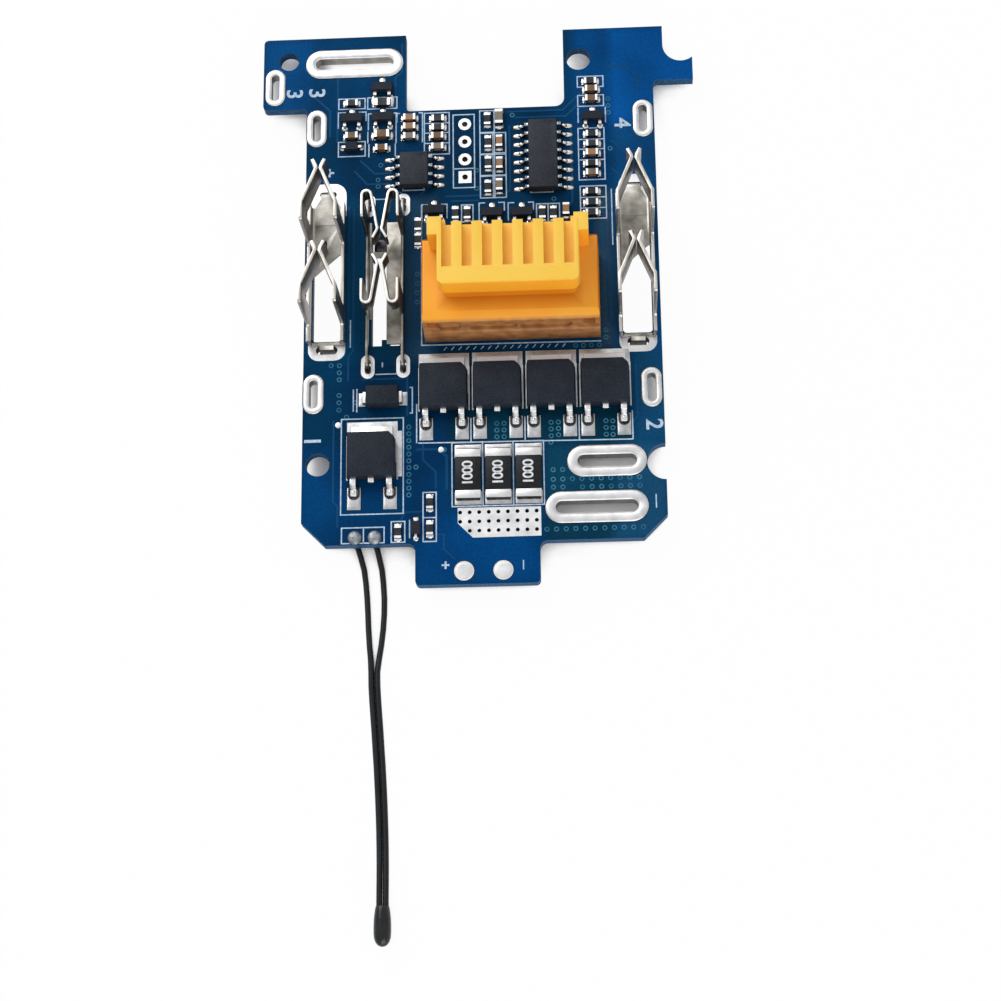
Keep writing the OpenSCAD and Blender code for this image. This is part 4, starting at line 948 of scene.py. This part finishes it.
def dome_shape(segments=16, rings=4):
    """Half a ball of radius 1, with a flat underside."""
    vertices = [(0, 0, 1)]
    for j in range(1, rings + 1):
        lift = math.pi / 2 * j / rings
        vertices += [(math.sin(lift) * x, math.sin(lift) * y, max(math.cos(lift), 0))
                     for x, y in (around(segments, k) for k in range(segments))]
    faces = [(0, 1 + k, 1 + (k + 1) % segments) for k in range(segments)]
    for j in range(rings - 1):
        a, b = 1 + j * segments, 1 + (j + 1) * segments
        faces += [(a + k, b + k, b + (k + 1) % segments, a + (k + 1) % segments)
                  for k in range(segments)]
    faces.append(tuple(reversed(range(1 + (rings - 1) * segments, 1 + rings * segments))))
    return mesh_object("dome_shape", vertices, faces)


def fillet_shape(steps=5):
    """A concave wedge: 1 long outwards along X, 1 wide along Y, and 1 high at x = 0."""
    outline = [(0.0, 0.0)]
    for k in range(steps + 1):
        turn = math.pi / 2 * k / steps
        outline.append((1 - math.sin(turn), 1 - math.cos(turn)))
    n = len(outline)
    vertices = [(x, y, z) for y in (-0.5, 0.5) for x, z in outline]
    faces = [tuple(range(n)), tuple(reversed(range(n, 2 * n)))]
    faces += [(i, n + i, n + (i + 1) % n, (i + 1) % n) for i in range(n)]
    return turn_outwards(mesh_object("fillet_shape", vertices, faces))


def plate_shape():
    """A plate from -1 to 1 with its top at height 1."""
    vertices = [(x, y, z) for z in (0, 1) for x, y in ((-1, -1), (1, -1), (1, 1), (-1, 1))]
    faces = [(3, 2, 1, 0), (4, 5, 6, 7), (0, 1, 5, 4), (1, 2, 6, 5), (2, 3, 7, 6), (3, 0, 4, 7)]
    return mesh_object("plate_shape", vertices, faces)


SHAPES = [make() for make in (ring_shape, pillow_shape, dome_shape, fillet_shape, plate_shape)]
RING, PILLOW, DOME, FILLET, PLATE = SHAPES
print("shapes:", [len(shape.data.polygons) for shape in SHAPES], "faces")

# %% [markdown]
# ## Tin on the lands
# Hot air levels the molten tin on every bare land, and surface tension pulls it into a pillow. One
# shape is scattered to each land, as wide as the land: pillows a few hundredths thick on the large
# ones, and rounder domes on the small ones and the lamp's. Round each land the mask stops short,
# and a thin plate of bare laminate shows the gap.

# %% Tin on lands
SINK = 0.01                          # a shape sinks this many millimetres into what it lies on
MASK_GAP = 0.09                      # bare laminate round a land


def on_lands(nodes, grow, thickness, base=None):
    """Places that cover each land of some nodes, grown by some millimetres to each side."""
    places = []
    for low, high in solids(*nodes):
        centre, half = middle((low, high)), (high - low) / 2
        z = high.z if base is None else base
        places.append(((centre.x, centre.y, z - SINK * MM),
                       (half.x + grow * MM, half.y + grow * MM, thickness * MM), 0.0))
    return places


scatter("land_clearances", PLATE,
        on_lands(["chip_lands", "power_lands"], MASK_GAP, 0.016, top_z),
        bare_laminate)
scatter("chip_land_tin", DOME, on_lands(["chip_lands"], 0.03, 0.15), reflowed_solder)
scatter("power_land_tin", PILLOW, on_lands(["power_lands"], 0.0, 0.07), land_tin)
scatter("lamp_land_tin", DOME, on_lands(["lamp_lands"], -0.1, 0.04), levelled_tin)

# %% [markdown]
# ## Solder at the small parts
# At each end of a chip the solder climbs its end cap in a concave fillet. The way out is the way
# from the chip's body to its cap, so each cap looks for its nearest body.

# %% Chip fillets
FILLET_REACH = 0.32                  # millimetres out from the cap
FILLET_RISE = 0.8                    # of the cap's height


def chip_fillets(name, bodies, caps):
    """A fillet outside each end cap of a node of chips."""
    centres = [middle(box) for box in solids(bodies)]
    places = []
    for box in solids(caps):
        centre = middle(box)
        away = centre - min(centres, key=lambda c: (c - centre).length)
        turn = math.atan2(away.y, away.x)
        size = box[1] - box[0]
        length, width = (size.x, size.y) if abs(away.x) > abs(away.y) else (size.y, size.x)
        foot = centre + Vector((math.cos(turn), math.sin(turn), 0)) * length / 2
        places.append(((foot.x, foot.y, box[0].z),
                       (FILLET_REACH * MM, width * 1.02, size.z * FILLET_RISE), turn))
    scatter(name, FILLET, places, reflowed_solder)


chip_fillets("resistor_solder", "resistor_bodies", "resistor_ends")
chip_fillets("capacitor_solder", "capacitor_bodies", "capacitor_ends")

# %% [markdown]
# ## Solder at the chips' leads
# A gull-wing lead catches the light in three places: the bead of solder in front of its toe, its
# foot, and its shoulder by the body. A small dome at the toe and a smaller one on the shoulder do
# it; the shoulder's dome is a painted highlight, not solder, and the slope between them stays dark.

# %% Lead beads
TOE_BEAD = mm(0.48, 0.3, 0.42)
# The shoulder's dome is a painted highlight, not solder.
SHOULDER_GLINT = mm(0.22, 0.22, 0.14)
TOE_INSET, SHOULDER_INSET = 0.3, 0.2   # millimetres in from the lead's two ends


def lead_beads(leads, body):
    """Places for a dome at each toe and one on each shoulder."""
    centre = middle(box_of(body))
    places = []
    for low, high in solids(leads):
        lead_middle = middle((low, high))
        way = 1 if lead_middle.x > centre.x else -1
        outer, inner = (high.x, low.x) if way > 0 else (low.x, high.x)
        toe = outer - way * TOE_INSET * MM
        shoulder = inner + way * SHOULDER_INSET * MM
        places += [((toe, lead_middle.y, top_z + 0.04 * MM), TOE_BEAD, 0.0),
                   ((shoulder, lead_middle.y, high.z - 0.05 * MM), SHOULDER_GLINT, 0.0)]
    return places


scatter("chip_lead_beads", DOME,
        lead_beads("balance_chip_leads", "balance_chip_body")
        + lead_beads("sense_chip_leads", "sense_chip_body"), reflowed_solder)

# %% [markdown]
# ## Solder at the power transistors
# The two outer leads of each transistor end in a collar of solder, higher round the foot than on
# the land. The feet are the low and narrow solids of the lead frame.

# %% Transistor collars
FOOT_MIDDLE = 0.52                   # millimetres from the toe to the middle of the foot
FOOT_WIDTH = 2                       # the tab is wider than this
FOOT_COLLAR = mm(0.4, 0.62, 0.6)

collars = [(((low.x + high.x) / 2, low.y + FOOT_MIDDLE * MM, top_z + 0.04 * MM), FOOT_COLLAR, 0.0)
           for low, high in solids(*(f"fet_leads_{number}" for number in range(1, 6)))
           if (high.x - low.x) / MM <= FOOT_WIDTH and low.z <= top_z + 0.3 * MM]
scatter("transistor_foot_solder", DOME, collars, reflowed_solder)

# %% [markdown]
# ## Rims round the plated slots
# The slots for cell tabs and bus bars have wide tinned rims. The tin stands proud in the middle of
# the rim and thins towards both edges, so the rim is a low dome swept round the slot. A closed
# path and a profile are all it takes.

# %% Slot rims
DOME_PROFILE = [(-0.5, 0.0), (-0.44, 0.55), (-0.25, 0.92), (0.0, 1.0), (0.25, 0.92), (0.44, 0.55),
                (0.5, 0.0)]


def stadium(centre, length, width, steps=12):
    """Points of a slot's outline; the longer side lies along X or Y as length and width say."""
    radius = min(length, width) / 2
    reach = max(length, width) / 2 - radius
    points = []
    for end in (1, -1):
        for k in range(steps + 1):
            turn = math.pi * (k / steps - 0.5) + (0 if end == 1 else math.pi)
            points.append((end * reach + radius * math.cos(turn), radius * math.sin(turn)))
    if width > length:
        points = [(-y, x) for x, y in points]
    return [Vector((centre.x + x, centre.y + y, centre.z)) for x, y in points]


def swept_dome(points, width, height):
    """A low dome swept along a closed flat path, in millimetres; returns vertices and faces."""
    n, count = len(DOME_PROFILE), len(points)
    vertices, faces = [], []
    for i, point in enumerate(points):
        way = (points[(i + 1) % count] - points[i - 1]).normalized()
        side = Vector((way.y, -way.x, 0))
        vertices += [point + side * (width * MM) * across + Vector((0, 0, height * MM * up))
                     for across, up in DOME_PROFILE]
        a, b = i * n, (i + 1) % count * n
        faces += [(a + j, b + j, b + (j + 1) % n, a + (j + 1) % n) for j in range(n)]
    return vertices, faces


def slot_rims(nodes, width, height, grow=0.0, lift=None):
    """Low domes on the rims of the slots in some nodes, or round them at a height of their own."""
    rims = []
    for low, high in solids(*nodes):
        centre, size = middle((low, high)), high - low
        centre.z = high.z - SINK * MM if lift is None else top_z + lift * MM
        path = stadium(centre, size.x + (grow - width) * MM, size.y + (grow - width) * MM)
        rims.append(swept_dome(path, width, height))
    return rims


joined("cell_slot_rims", slot_rims(["cell_slot_eyelets"], 0.72, 0.1), levelled_tin)
joined("bus_slot_rims", slot_rims(["bus_slot_eyelets"], 1.2, 0.13), levelled_tin)
joined("slot_clearances",
       slot_rims(["cell_slot_eyelets", "bus_slot_eyelets", "charge_clip_eyelets",
                  "header_eyelets", "lamp_lands"], 0.24, 0.018, grow=0.22, lift=-0.006),
       bare_laminate)

# %% [markdown]
# ## Shade in the solder
# Solder that climbs a foot or an end cap is concave there, and a concave mirror beside a black part
# shows the part. Seen from above, that is a dark line round each foot and along each end cap. The
# lines are a painted reflection: low domes of a dark metal, a ring round each foot and a bar beside
# each cap. Behind the charge clip's cross bar the shade is painted the same way, with a pillow of
# the same metal.

# %% Dark lines in the solder
SHADE_FOOT = 0.09                    # millimetres over the mask
SHADE_HEIGHT = 0.08
FOOT_RING = mm(1.2, 1.75)            # across and along a foot

foot_paths = [stadium(Vector((x, y + 0.12 * MM, top_z + 0.1 * MM)), *FOOT_RING)
              for (x, y, _), _, _ in collars]
joined("foot_shade", [swept_dome(path, 0.3, 0.12) for path in foot_paths], shaded_solder)

cap_bars = []
for number in range(1, 4):
    body = middle(box_of(f"shunt_body_{number}"))
    for low, high in solids(f"shunt_ends_{number}"):
        centre, half = middle((low, high)), (high.x - low.x) / 2
        outward = 1 if centre.y > body.y else -1
        y = (high.y if outward > 0 else low.y) + outward * 0.1 * MM
        cap_bars.append(((centre.x, y, top_z + SHADE_FOOT * MM),
                         (half - 0.1 * MM, 0.15 * MM, SHADE_HEIGHT * MM), 0.0))
for low, high in solids("diode_ends"):
    cap_bars.append(((low.x, (low.y + high.y) / 2, top_z + SHADE_FOOT * MM),
                     (0.12 * MM, (high.y - low.y) / 2, SHADE_HEIGHT * MM), 0.0))
scatter("cap_shade", PILLOW, cap_bars, shaded_solder)

BAR_SHADE_PLACE = (-12.4, 40.55)                # the middle of the painted shade behind the cross bar
scatter("charge_clip_fold", PILLOW, [(at(*BAR_SHADE_PLACE), mm(1.5, 1.0, 0.4), 0.0)],
        shaded_solder)

# %% [markdown]
# ## Vias
# Rows of small plated holes carry current from one side to the other. Here they are tented: the
# mask runs over them, and only a low ring of copper shows. They stand in rows, so rows are what
# is written down: start, step and count.

# %% Via rows
VIA_SIZE = mm(0.33, 0.33, 0.035)     # the ring's radius, twice, and its height
# Start (x, y), step (x, y) and number, in millimetres.
VIA_ROWS = [
    ((-18.33, 24.2), (0, -0.96), 3), ((-18.33, 20.15), (0, -0.98), 3),
    ((-19.4, 24.25), (0, 0), 1), ((-16.3, 19.15), (0, 0), 1), ((-17.35, 17.2), (0, 0), 1),
    ((-9.4, 15.65), (0, -0.9), 11), ((-8.5, 10.3), (0, 0), 1),
    ((1.78, 15.8), (0, -0.9), 3), ((2.7, 15.8), (0, -0.9), 3),
    ((8.65, 15.75), (0, -0.9), 3), ((9.58, 15.75), (0, -0.85), 3),
    ((15.6, 15.75), (0, -0.9), 3), ((16.45, 15.7), (0, -0.9), 3), ((8.6, 13.1), (0, 0), 1),
    ((8.8, 9.45), (1.2, 0), 2), ((8.8, 8.2), (1.2, 0), 10), ((8.8, 7.15), (1.2, 0), 2),
    ((12.45, 7.1), (1.2, 0), 7), ((7.9, 1.7), (1.2, 0), 11),
    ((12.0, 26.0), (1.0, 0), 4), ((15.9, 27.0), (0, 1.0), 2),
    ((-13.1, 52.1), (0, 0), 1), ((-13.45, 50), (0, -0.95), 2), ((4.3, 58.7), (0, 0), 1),
    ((-0.5, 50.9), (0, -2.6), 2), ((17.1, 53.4), (0, 0), 1), ((-4.9, 12.5), (0, 0), 1),
    ((-10.6, 47.9), (0, 0), 1), ((9.6, 46.5), (0, 0), 1), ((17.0, 60.6), (0, -1.0), 3),
    ((-21.4, 45.3), (0, 0), 1), ((-8.3, 36.5), (0, -1.3), 4),
]
vias = [(at(x + step_x * k, y + step_y * k), VIA_SIZE, 0.0)
        for (x, y), (step_x, step_y), count in VIA_ROWS for k in range(count)]
scatter("tented_vias", RING, vias, tented_copper)

# %% [markdown]
# ## Ribbons
# Tin that crept along a part's side, copper tracks under the mask and printed lines are all flat
# strips along a route. One function makes such a ribbon with its corners mitred, the way a layout
# program draws them, and each next one lies a hair higher, so that no two share a height.

# %% Ribbons
LAYERS, LAYER_STEP = 13, 0.0011      # heights that take turns, in millimetres


def ribbon(points, width, height, base, closed=False):
    """A flat strip along a route on the board: vertices and faces, sizes in millimetres."""
    count = len(points)
    flat = [Vector((x, y)) for x, y in points]
    vertices = []
    for i, point in enumerate(flat):
        before = flat[i - 1] if closed or i else None
        after = flat[(i + 1) % count] if closed or i < count - 1 else None
        first = (point - before).normalized() if before is not None else None
        second = (after - point).normalized() if after is not None else None
        first = first or second
        second = second or first
        side = Vector((-first.y - second.y, first.x + second.x)).normalized()
        reach = width / 2 / max(side.dot(Vector((-first.y, first.x))), 0.4)
        a, b = point + side * reach, point - side * reach
        vertices += [at(a.x, a.y, base), at(a.x, a.y, base + height),
                     at(b.x, b.y, base + height), at(b.x, b.y, base)]
    faces = []
    for i in range(count if closed else count - 1):
        a, b = i * 4, (i + 1) % count * 4
        faces += [(a + j, b + j, b + (j + 1) % 4, a + (j + 1) % 4) for j in range(4)]
    if not closed:
        faces += [(0, 1, 2, 3), tuple(4 * (count - 1) + j for j in (3, 2, 1, 0))]
    return vertices, faces


def ribbons(name, routes, height, base, look):
    """One piece of many ribbons; a route is (width, points), and True after them closes it."""
    joined(name, [ribbon(points, width, height, base + number % LAYERS * LAYER_STEP, *closed)
                  for number, (width, points, *closed) in enumerate(routes)],
           look, rounded=False)


# %% [markdown]
# ## Tin along the transistors' sides
# The land under a transistor is a little wider than its body, so a thin bright line of tin shows
# along both sides of each, and a wider one beside the fifth.

# %% Tin along the sides
LINE_OF_TIN, STRIP_OF_TIN = 0.2, 0.66
side_routes = []
for number in range(1, 6):
    low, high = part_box(f"fet_body_{number}")
    left, right = ((value - middle_x) / MM for value in (low[0], high[0]))
    bottom, top = ((value - edge_y) / MM for value in (low[1], high[1]))
    side_routes += [(LINE_OF_TIN, [(x, bottom + 0.1), (x, top)])
                    for x in (left - 0.08, right + 0.08)]
side_routes.append((STRIP_OF_TIN, [(right + 0.36, bottom + 0.5), (right + 0.36, top + 0.55)]))
ribbons("transistor_side_tin", side_routes, 0.05, 0.04, land_tin)

# %% [markdown]
# ## Tracks under the mask
# Copper tracks are a few hundredths of a millimetre thick, and the mask drapes over them, so they
# show as faint ridges of a lighter blue. Each is written as its width and its route.

# %% Tracks
TRACK_HEIGHT = 0.02
TRACKS = [
    (0.3, [(-17.25, 46.5), (-17.25, 26.8), (-18.2, 25.6)]),
    (0.25, [(-16.6, 46.0), (-16.6, 26.2), (-17.2, 25.4), (-17.2, 22.0)]),
    (0.25, [(-8.6, 47.0), (-8.6, 28.5), (-9.6, 26.6), (-9.6, 17.2)]),
    (0.25, [(-7.9, 47.6), (-6.6, 48.9), (-6.6, 53.0)]),
    (0.3, [(-19.9, 56.4), (-19.9, 60.2), (-22.6, 62.9)]),
    (0.25, [(-18.9, 55.6), (-18.9, 66.0), (-11.0, 66.0)]),
    (0.25, [(-11.2, 60.2), (-11.2, 64.8), (-10.3, 65.6), (-10.3, 69.8)]),
    (0.25, [(-15.9, 52.9), (-13.9, 50.9), (-11.6, 50.9)]),
    (0.25, [(-16.6, 51.4), (-14.9, 49.4), (-11.9, 49.4)]),
    (0.25, [(3.6, 59.2), (11.0, 59.2), (13.4, 61.6)]),
    (0.25, [(4.6, 58.3), (11.4, 58.3), (13.0, 59.9)]),
    (0.25, [(12.0, 57.0), (12.0, 46.0), (10.6, 44.6)]),
    (0.25, [(17.2, 54.6), (19.2, 52.6), (20.6, 52.6)]),
    (0.25, [(17.2, 50.6), (18.6, 49.2), (18.6, 47.0)]),
    (0.25, [(16.9, 65.4), (19.3, 65.4), (20.9, 63.8), (20.9, 61.6)]),
    (0.25, [(-4.6, 47.3), (3.2, 47.3), (3.9, 48.0), (3.9, 57.2)]),
    (0.25, [(-3.9, 46.6), (-0.2, 46.6)]),
    (0.35, [(-8.4, 12.6), (-5.6, 12.6), (-4.6, 11.6), (-4.6, 7.2)]),
    (0.25, [(-10.4, 3.4), (-9.8, 4.4), (-7.8, 4.4)]),
    (0.25, [(-6.0, 7.4), (-6.0, 9.6), (-7.6, 11.2), (-7.6, 16.8)]),
    (0.25, [(-19.0, 16.8), (-19.0, 6.0), (-18.4, 5.4), (-18.4, 2.6)]),
    (0.25, [(-15.4, 22.2), (-9.9, 22.2)]),
    (0.25, [(-3.6, -1.9), (-5.0, -0.5), (-5.0, 1.4), (-6.0, 1.4)]),
    (0.25, [(16.3, 38.0), (16.3, 29.2), (17.4, 28.1)]),
    (0.25, [(16.0, 45.0), (16.0, 39.5)]),
    (0.3, [(19.6, 23.4), (19.6, 16.2), (18.9, 15.5)]),
]
ribbons("covered_tracks", TRACKS, TRACK_HEIGHT, 0.0, copper_under_mask)

# %% [markdown]
# ## Legend print
# The legend is screened on in white ink that the blue tints: outlines round the parts, dividers,
# and the marks beside the slots. Outlines are closed ribbons. The marks are plain figures and
# signs, set as text and turned into thin solids.

# %% Outlines
LINE = 0.16
INK = 0.015
PRINT_BASE = 0.018                   # ink lies over the covered tracks
DASHES, DASH_STEP, DASH_WIDTH = 17, 0.95, 0.12   # short slanted dashes in front of the socket

# Two corners of each.
OUTLINES = [
    (-3.54, 48.47, -0.74, 59.0), (-17.86, 0.5, -12.5, 2.52), (-3.94, 4.95, -0.05, 13.35),
    (-0.05, 4.95, 3.8, 13.35), (3.8, 4.95, 7.65, 13.35), (-18.0, 4.25, -10.1, 16.9),
    (0.0, 56.3, 1.9, 59.45), (0.0, 53.2, 1.9, 56.2), (0.0, 50.1, 1.9, 53.1),
    (0.0, 46.9, 1.9, 50.0), (-7.35, 53.4, -4.05, 59.4), (12.95, 49.0, 16.35, 56.4),
    (13.0, 62.4, 16.4, 63.95), (13.0, 59.6, 16.4, 61.2), (13.05, 43.5, 16.4, 48.1),
    (-18.75, 60.4, -15.25, 61.9), (-14.9, 60.3, -11.0, 61.95), (-18.75, 53.5, -15.2, 55.6),
    (-7.6, 0.5, -5.95, 6.9), (-11.6, 0.5, -9.9, 3.2), (-2.5, 43.6, -1.0, 46.0),
    (7.3, 43.2, 8.8, 45.8), (8.8, 43.2, 10.3, 45.8), (1.7, 53.3, 3.4, 56.2),
    (1.7, 50.1, 3.4, 53.1), (1.7, 46.9, 3.4, 50.0),
]
# Open lines: points of each.
STROKES = [
    [(-3.54, 51.2), (-0.74, 51.2)], [(-15.1, 0.5), (-15.1, 2.52)], [(12.95, 51.85), (16.35, 51.85)],
    [(12.95, 53.4), (16.35, 53.4)], [(12.95, 54.8), (16.35, 54.8)], [(13.05, 46.5), (16.4, 46.5)],
    [(13.05, 45.0), (16.4, 45.0)], [(-7.35, 55.0), (-4.05, 55.0)], [(-7.35, 56.5), (-4.05, 56.5)],
    [(-7.35, 57.9), (-4.05, 57.9)], [(-7.6, 3.6), (-5.95, 3.6)],
    [(-7.75, 46.2), (-7.75, 26.62), (15.3, 26.5)], [(-8.2, 13.45), (18.95, 13.2)],
    [(-8.4, 18.7), (-8.4, 13.45)], [(-1.5, 16.6), (-1.5, 13.4)], [(5.35, 16.6), (5.35, 13.4)],
    [(12.2, 16.6), (12.2, 13.3)], [(18.95, 17.0), (18.95, 13.2)],
    [(-16.05, 20.95), (-16.05, 17.8)], [(-16.5, 20.9), (-16.5, 17.9)],
    [(-9.3, 20.95), (-8.95, 20.95), (-8.95, 17.5), (-9.3, 17.5)],
    [(-13.7, 22.85), (-11.0, 22.85)], [(-12.8, 24.45), (-12.8, 23.8)],
    [(-13.9, 47.2), (-12.3, 47.2)], [(-10.1, 39.1), (-10.1, 30.4)],
    [(17.1, 47.6), (17.1, 39.7)], [(-16.95, 30.4), (-16.95, 26.6)],
    [(-10.2, 48.9), (-10.2, 48.35), (-7.4, 48.35), (-7.4, 48.9)],
    [(6.6, 47.9), (6.6, 47.45), (9.5, 47.45), (9.5, 47.9)],
    [(-18.8, 57.6), (-18.8, 59.9), (-17.8, 59.9)], [(-16.1, 59.9), (-15.1, 59.9), (-15.1, 58.6)],
    [(-14.8, 57.2), (-14.8, 59.6), (-14.0, 59.6)], [(-11.7, 59.6), (-11.0, 59.6), (-11.0, 58.2)],
    [(-14.85, 55.3), (-14.85, 57.0)], [(-11.1, 55.2), (-11.1, 57.0)],
    [(-14.7, 53.3), (-14.7, 55.2)], [(-11.2, 53.3), (-11.2, 55.2)],
    [(-11.1, 55.2), (-11.1, 59.5), (-10.6, 59.5)], [(-7.6, 55.2), (-7.6, 59.5), (-8.1, 59.5)],
    [(13.0, 57.2), (13.0, 59.4)], [(16.6, 57.2), (16.6, 59.4)],
    [(-0.2, 43.6), (-0.2, 46.2), (0.6, 46.2)], [(2.3, 46.2), (3.1, 46.2), (3.1, 45.0)],
    [(3.6, 43.6), (3.6, 46.1), (4.4, 46.1)], [(6.2, 46.1), (6.9, 46.1), (6.9, 45.0)],
    [(-7.7, 43.8), (-7.7, 46.2), (-6.9, 46.2)], [(-5.2, 46.2), (-4.4, 46.2), (-4.4, 44.2)],
    [(-9.3, 1.0), (-9.3, 3.4)], [(21.6, 5.9), (21.6, 4.1)], [(4.9, -2.2), (4.9, -3.4)],
]
outlines = [(LINE, [(x0, y0), (x1, y0), (x1, y1), (x0, y1)], True) for x0, y0, x1, y1 in OUTLINES]
strokes = [(LINE, points) for points in STROKES]
dashes = [(DASH_WIDTH, [(-4.9 + DASH_STEP * k, 25.85), (-4.5 + DASH_STEP * k, 26.3)])
          for k in range(DASHES)]
ribbons("legend_lines", outlines + strokes + dashes, INK, PRINT_BASE, print_ink)

# %% Figures and signs
CAPITAL = 0.7                        # a capital is this share of the text's size


def figure(name, text, x, y, height, turn, look=print_ink, base=PRINT_BASE, bold=0.05,
           spacing=1.0):
    """Text as a thin solid centred on a place; the height is that of its capitals."""
    data = bpy.data.curves.new(name, "FONT")
    data.body = text
    data.align_x = "CENTER"
    data.align_y = "CENTER"
    data.size = height / CAPITAL * MM
    data.extrude = INK / 2 * MM
    data.offset = bold * MM
    data.space_character = spacing
    letters = bpy.data.objects.new(name, data)
    scene.collection.objects.link(letters)
    mesh = bpy.data.meshes.new_from_object(
        letters.evaluated_get(bpy.context.evaluated_depsgraph_get()))
    bpy.data.objects.remove(letters)
    place = at(x, y, base + INK / 2)
    cosine, sine = math.cos(math.radians(turn)), math.sin(math.radians(turn))
    for vertex in mesh.vertices:
        vx, vy, vz = vertex.co
        vertex.co = (place.x + vx * cosine - vy * sine, place.y + vx * sine + vy * cosine,
                     place.z + vz)
    wear(mesh, look)
    piece = bpy.data.objects.new(name, mesh)
    scene.collection.objects.link(piece)
    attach(piece, "root")


FIGURES = [
    ("3", -24.8, 62.9, 2.1), ("3", -21.8, 62.9, 2.1), ("4", 18.7, 57.0, 2.1),
    ("1", -21.8, 14.1, 2.1), ("2", 21.6, 15.1, 2.1), ("+", -20.0, 51.2, 1.6),
    ("+", -4.9, -2.6, 1.3)]
for number, (text, x, y, height) in enumerate(FIGURES):
    figure(f"legend_figure_{number}", text, x, y, height, -90)
print(len(FIGURES), "figures")

# %% Marks on the shunts
for number in range(1, 4):
    low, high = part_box(f"shunt_body_{number}")
    x = ((low[0] + high[0]) / 2 - middle_x) / MM
    y = ((low[1] + high[1]) / 2 - edge_y) / MM
    figure(f"shunt_mark_{number}", "1000", x, y, 1.3, 90, marking_ink,
           (high[2] - top_z) / MM, 0.035, 0.86)
print("three marks")

# %% [markdown]
# ## Fiducials
# Two bare dots of tin let the placing machine find the board. Each is a very low dome.

# %% Fiducials
FIDUCIALS = [(-18.4, 16.15), (-5.3, 12.5)]
scatter("fiducials", DOME, [(at(x, y), mm(0.4, 0.4, 0.05), 0.0) for x, y in FIDUCIALS],
        levelled_tin)
